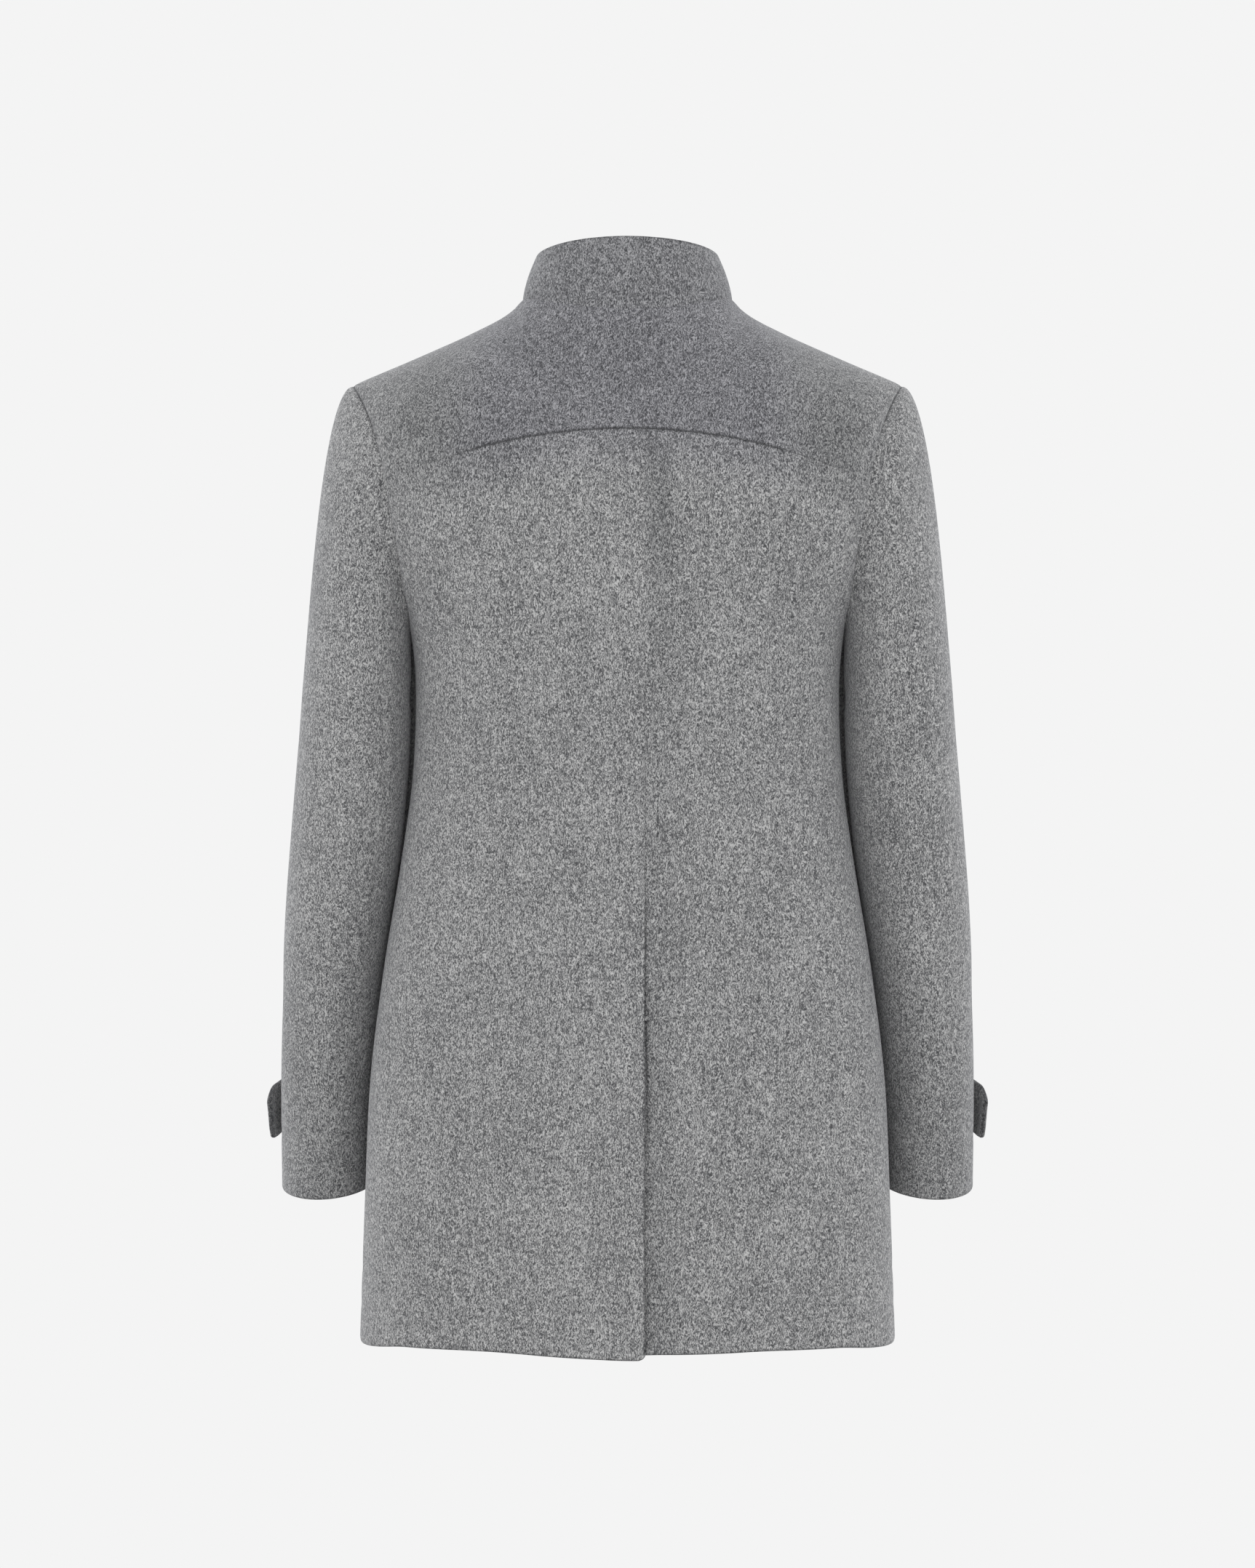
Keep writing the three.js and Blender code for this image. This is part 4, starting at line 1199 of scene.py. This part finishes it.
class WOOLCOAT_PG_cloth(bpy.types.PropertyGroup):
    wall: bpy.props.FloatProperty(
        name="Cloth", description="Thickness of the wool with its lining", default=2.5 * MM, min=0.001, max=0.004,
        unit="LENGTH", precision=4,
    )
    seam_depth: bpy.props.FloatProperty(
        name="Seam depth", description="How deep the cloth sinks at a seam", default=1.0 * MM, min=0, max=0.002,
        unit="LENGTH", precision=4,
    )
    seam_width: bpy.props.FloatProperty(
        name="Seam width", description="How far from a seam the cloth starts to sink", default=2.6 * MM, min=0.0005,
        max=0.01, unit="LENGTH", precision=4,
    )
    dark_fibre: bpy.props.FloatVectorProperty(
        name="Dark fibre", description="Colour of the darkest fibres", default=(0.055, 0.056, 0.059), size=3,
        subtype="COLOR", min=0, max=1,
    )
    middle_fibre: bpy.props.FloatVectorProperty(
        name="Middle fibre", description="Colour of most of the cloth", default=(0.185, 0.186, 0.189), size=3,
        subtype="COLOR", min=0, max=1,
    )
    light_fibre: bpy.props.FloatVectorProperty(
        name="Light fibre", description="Colour of the lightest fibres", default=(0.45, 0.45, 0.447), size=3,
        subtype="COLOR", min=0, max=1,
    )
    # Multiplies the colour by the shade measure: the yoke's and collar's darker tone, and painted shade below the yoke
    # seam, beside the seam down the back and on the forearms
    yoke_shade: bpy.props.FloatVectorProperty(
        name="Yoke shade", description="What the colour is multiplied by where the cloth is darkest",
        default=(0.725, 0.73, 0.735), size=3, subtype="COLOR", min=0, max=1,
    )
    cool_shade: bpy.props.FloatVectorProperty(
        name="Cool shade", description="What the colour is multiplied by where the cloth is coolest",
        default=(0.96, 0.95, 1.0), size=3, subtype="COLOR", min=0, max=1,
    )
    button_colour: bpy.props.FloatVectorProperty(
        name="Button", description="Colour of the resin buttons", default=(0.018, 0.0165, 0.016), size=3,
        subtype="COLOR", min=0, max=1,
    )


class WOOLCOAT_PG_stage(bpy.types.PropertyGroup):
    backdrop: bpy.props.FloatProperty(
        name="Backdrop", description="Brightness of the plain surroundings", default=0.905, min=0, max=2
    )
    key: bpy.props.FloatProperty(
        name="Soft light", description="Power of the large light behind the camera", default=24.9, min=0,
        subtype="POWER",
    )
    floor_drop: bpy.props.FloatProperty(
        name="Floor", description="How far below the shoulders the floor lies", default=1.42, min=0.9, unit="LENGTH"
    )


class WOOLCOAT_OT_back(bpy.types.Operator):
    """Builds the yoke and the two halves of the back with their lapped vent"""

    bl_idname = "woolcoat.back"
    bl_label = "Back and Yoke"

    def execute(self, context):
        settings = context.scene.woolcoat_cloth
        back_yoke(settings)
        for word in HANDS:
            back_half(word, settings)
            yoke_tack(word, settings)
        return {"FINISHED"}


class WOOLCOAT_OT_fronts(bpy.types.Operator):
    """Builds the two fronts, the left one lapped over the right one"""

    bl_idname = "woolcoat.fronts"
    bl_label = "Fronts"

    def execute(self, context):
        for word in HANDS:
            front_half(word, context.scene.woolcoat_cloth)
        return {"FINISHED"}


class WOOLCOAT_OT_collar(bpy.types.Operator):
    """Builds the stand collar on the neck seam"""

    bl_idname = "woolcoat.collar"
    bl_label = "Collar"

    def execute(self, context):
        collar(context.scene.woolcoat_cloth)
        return {"FINISHED"}


class WOOLCOAT_OT_sleeves(bpy.types.Operator):
    """Builds both sleeves, each from an upper and an under piece"""

    bl_idname = "woolcoat.sleeves"
    bl_label = "Sleeves"

    def execute(self, context):
        for word in HANDS:
            for part in ("upper", "under"):
                sleeve_piece(word, part, context.scene.woolcoat_cloth)
        return {"FINISHED"}


class WOOLCOAT_OT_cuff_tabs(bpy.types.Operator):
    """Builds the tab on each cuff with its button"""

    bl_idname = "woolcoat.cuff_tabs"
    bl_label = "Cuff Tabs"

    def execute(self, context):
        settings = context.scene.woolcoat_cloth
        for word, hand in HANDS.items():
            cuff_tab(word, settings)
            point, out = tab_frame(np.array(CUFF_BUTTON_TURN), np.array(0.0))
            mirrored = np.array([hand, 1, 1])
            place = (point + out * (TAB_SEAT + TAB["thick"])) * mirrored
            button(f"cuff_button_{word}_resin", f"cuff_button_{word}", CUFF_BUTTON, place, out * mirrored, settings)
            button_thread(f"cuff_thread_{word}", CUFF_BUTTON, place, out * mirrored, settings)
        return {"FINISHED"}


class WOOLCOAT_OT_buttons(bpy.types.Operator):
    """Builds the buttons down the front with their thread and worked buttonholes"""

    bl_idname = "woolcoat.buttons"
    bl_label = "Front Buttons"

    def execute(self, context):
        settings = context.scene.woolcoat_cloth
        for number, z in enumerate(FRONT_BUTTON_Z, 1):
            place = body_across(np.array(0.0), np.array(z), FRONT)
            above, below = (body_across(np.array(0.0), np.array(z + step), FRONT) for step in (1, -1))
            tall = above - below
            out = unit(np.array([0.0, -tall[2], tall[1]]))
            node = f"front_button_{number}"
            button(f"{node}_resin", node, FRONT_BUTTON, place, out, settings)
            button_thread(f"front_thread_{number}", FRONT_BUTTON, place, out, settings)
            buttonhole(number, settings)
        return {"FINISHED"}


class WOOLCOAT_OT_stage(bpy.types.Operator):
    """Sets the camera as the photograph's, with a pale floor, even surroundings and soft lights"""

    bl_idname = "woolcoat.stage"
    bl_label = "Stage"

    def execute(self, context):
        scene, stage = context.scene, context.scene.woolcoat_stage
        lens = bpy.data.cameras.new("photo_camera")
        lens.sensor_fit = "VERTICAL"
        lens.sensor_height = lens.sensor_width = SENSOR
        lens.lens = SENSOR * CAMERA["away"] / (FRAME_PIXELS[1] * CAMERA["mm_per_pixel"])
        lens.clip_end = 100
        camera = bpy.data.objects.new("photo_camera", lens)
        camera.location = (0, CAMERA["away"] * MM, CAMERA["z"] * MM)
        camera.rotation_euler = (math.pi / 2, 0, math.pi)
        scene.collection.objects.link(camera)
        scene.camera = camera

        turn = np.linspace(0, 2 * math.pi, 96, endpoint=False)
        rim = FLOOR_RADIUS * np.stack([np.cos(turn), np.sin(turn), 0 * turn], axis=-1)
        rim[:, 2] = -stage.floor_drop
        mesh = bpy.data.meshes.new("floor")
        mesh.from_pydata(rim, [], [list(range(len(rim)))])
        floor = bpy.data.objects.new("floor", mesh)
        scene.collection.objects.link(floor)
        floor.data.materials.append(floor_material())
        floor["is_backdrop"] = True

        world = bpy.data.worlds.new("surroundings")
        world.use_nodes = True
        sky = world.node_tree.nodes["Background"]
        sky.inputs["Color"].default_value = (1, 1, 1, 1)
        sky.inputs["Strength"].default_value = stage.backdrop
        scene.world = world
        scene.view_settings.view_transform = "Standard"

        places = (
            ("soft_back", (0.0, 3.6, 1.1), 1.0, 3.2),
            ("soft_left", (3.2, 1.9, 0.9), 0.85, 2.4),
            ("soft_right", (-3.2, 1.9, 0.9), 0.85, 2.4),
            ("soft_front", (0.4, -3.6, 1.2), 1.0, 3.0),
        )
        for name, place, share, width in places:
            lamp = bpy.data.lights.new(name, "AREA")
            lamp.energy = stage.key * share
            lamp.size = width
            thing = bpy.data.objects.new(name, lamp)
            thing.location = place
            aim = Vector((0, 0, -0.4)) - Vector(place)
            thing.rotation_euler = aim.to_track_quat("-Z", "Y").to_euler()
            scene.collection.objects.link(thing)
        return {"FINISHED"}


OPERATORS = (
    WOOLCOAT_OT_back,
    WOOLCOAT_OT_fronts,
    WOOLCOAT_OT_collar,
    WOOLCOAT_OT_sleeves,
    WOOLCOAT_OT_cuff_tabs,
    WOOLCOAT_OT_buttons,
    WOOLCOAT_OT_stage,
)


class WOOLCOAT_PT_sidebar(bpy.types.Panel):
    """Lists the coat's settings and the steps that build it"""

    bl_idname = "WOOLCOAT_PT_sidebar"
    bl_label = "Wool Coat"
    bl_space_type = "VIEW_3D"
    bl_region_type = "UI"
    bl_category = "Wool Coat"

    def draw(self, context):
        layout = self.layout
        for group in (context.scene.woolcoat_cloth, context.scene.woolcoat_stage):
            for key in group.__annotations__:
                layout.prop(group, key)
        for operator in OPERATORS:
            layout.operator(operator.bl_idname)


CLASSES = (WOOLCOAT_PG_cloth, WOOLCOAT_PG_stage, *OPERATORS, WOOLCOAT_PT_sidebar)


def register():
    for cls in CLASSES:
        bpy.utils.register_class(cls)
    bpy.types.Scene.woolcoat_cloth = bpy.props.PointerProperty(type=WOOLCOAT_PG_cloth)
    bpy.types.Scene.woolcoat_stage = bpy.props.PointerProperty(type=WOOLCOAT_PG_stage)


def unregister():
    del bpy.types.Scene.woolcoat_stage
    del bpy.types.Scene.woolcoat_cloth
    for cls in reversed(CLASSES):
        bpy.utils.unregister_class(cls)


def main():
    register()
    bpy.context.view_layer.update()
    for step in (
        bpy.ops.woolcoat.back,
        bpy.ops.woolcoat.fronts,
        bpy.ops.woolcoat.collar,
        bpy.ops.woolcoat.sleeves,
        bpy.ops.woolcoat.cuff_tabs,
        bpy.ops.woolcoat.buttons,
        bpy.ops.woolcoat.stage,
    ):
        step()


if __name__ == "__main__":
    main()
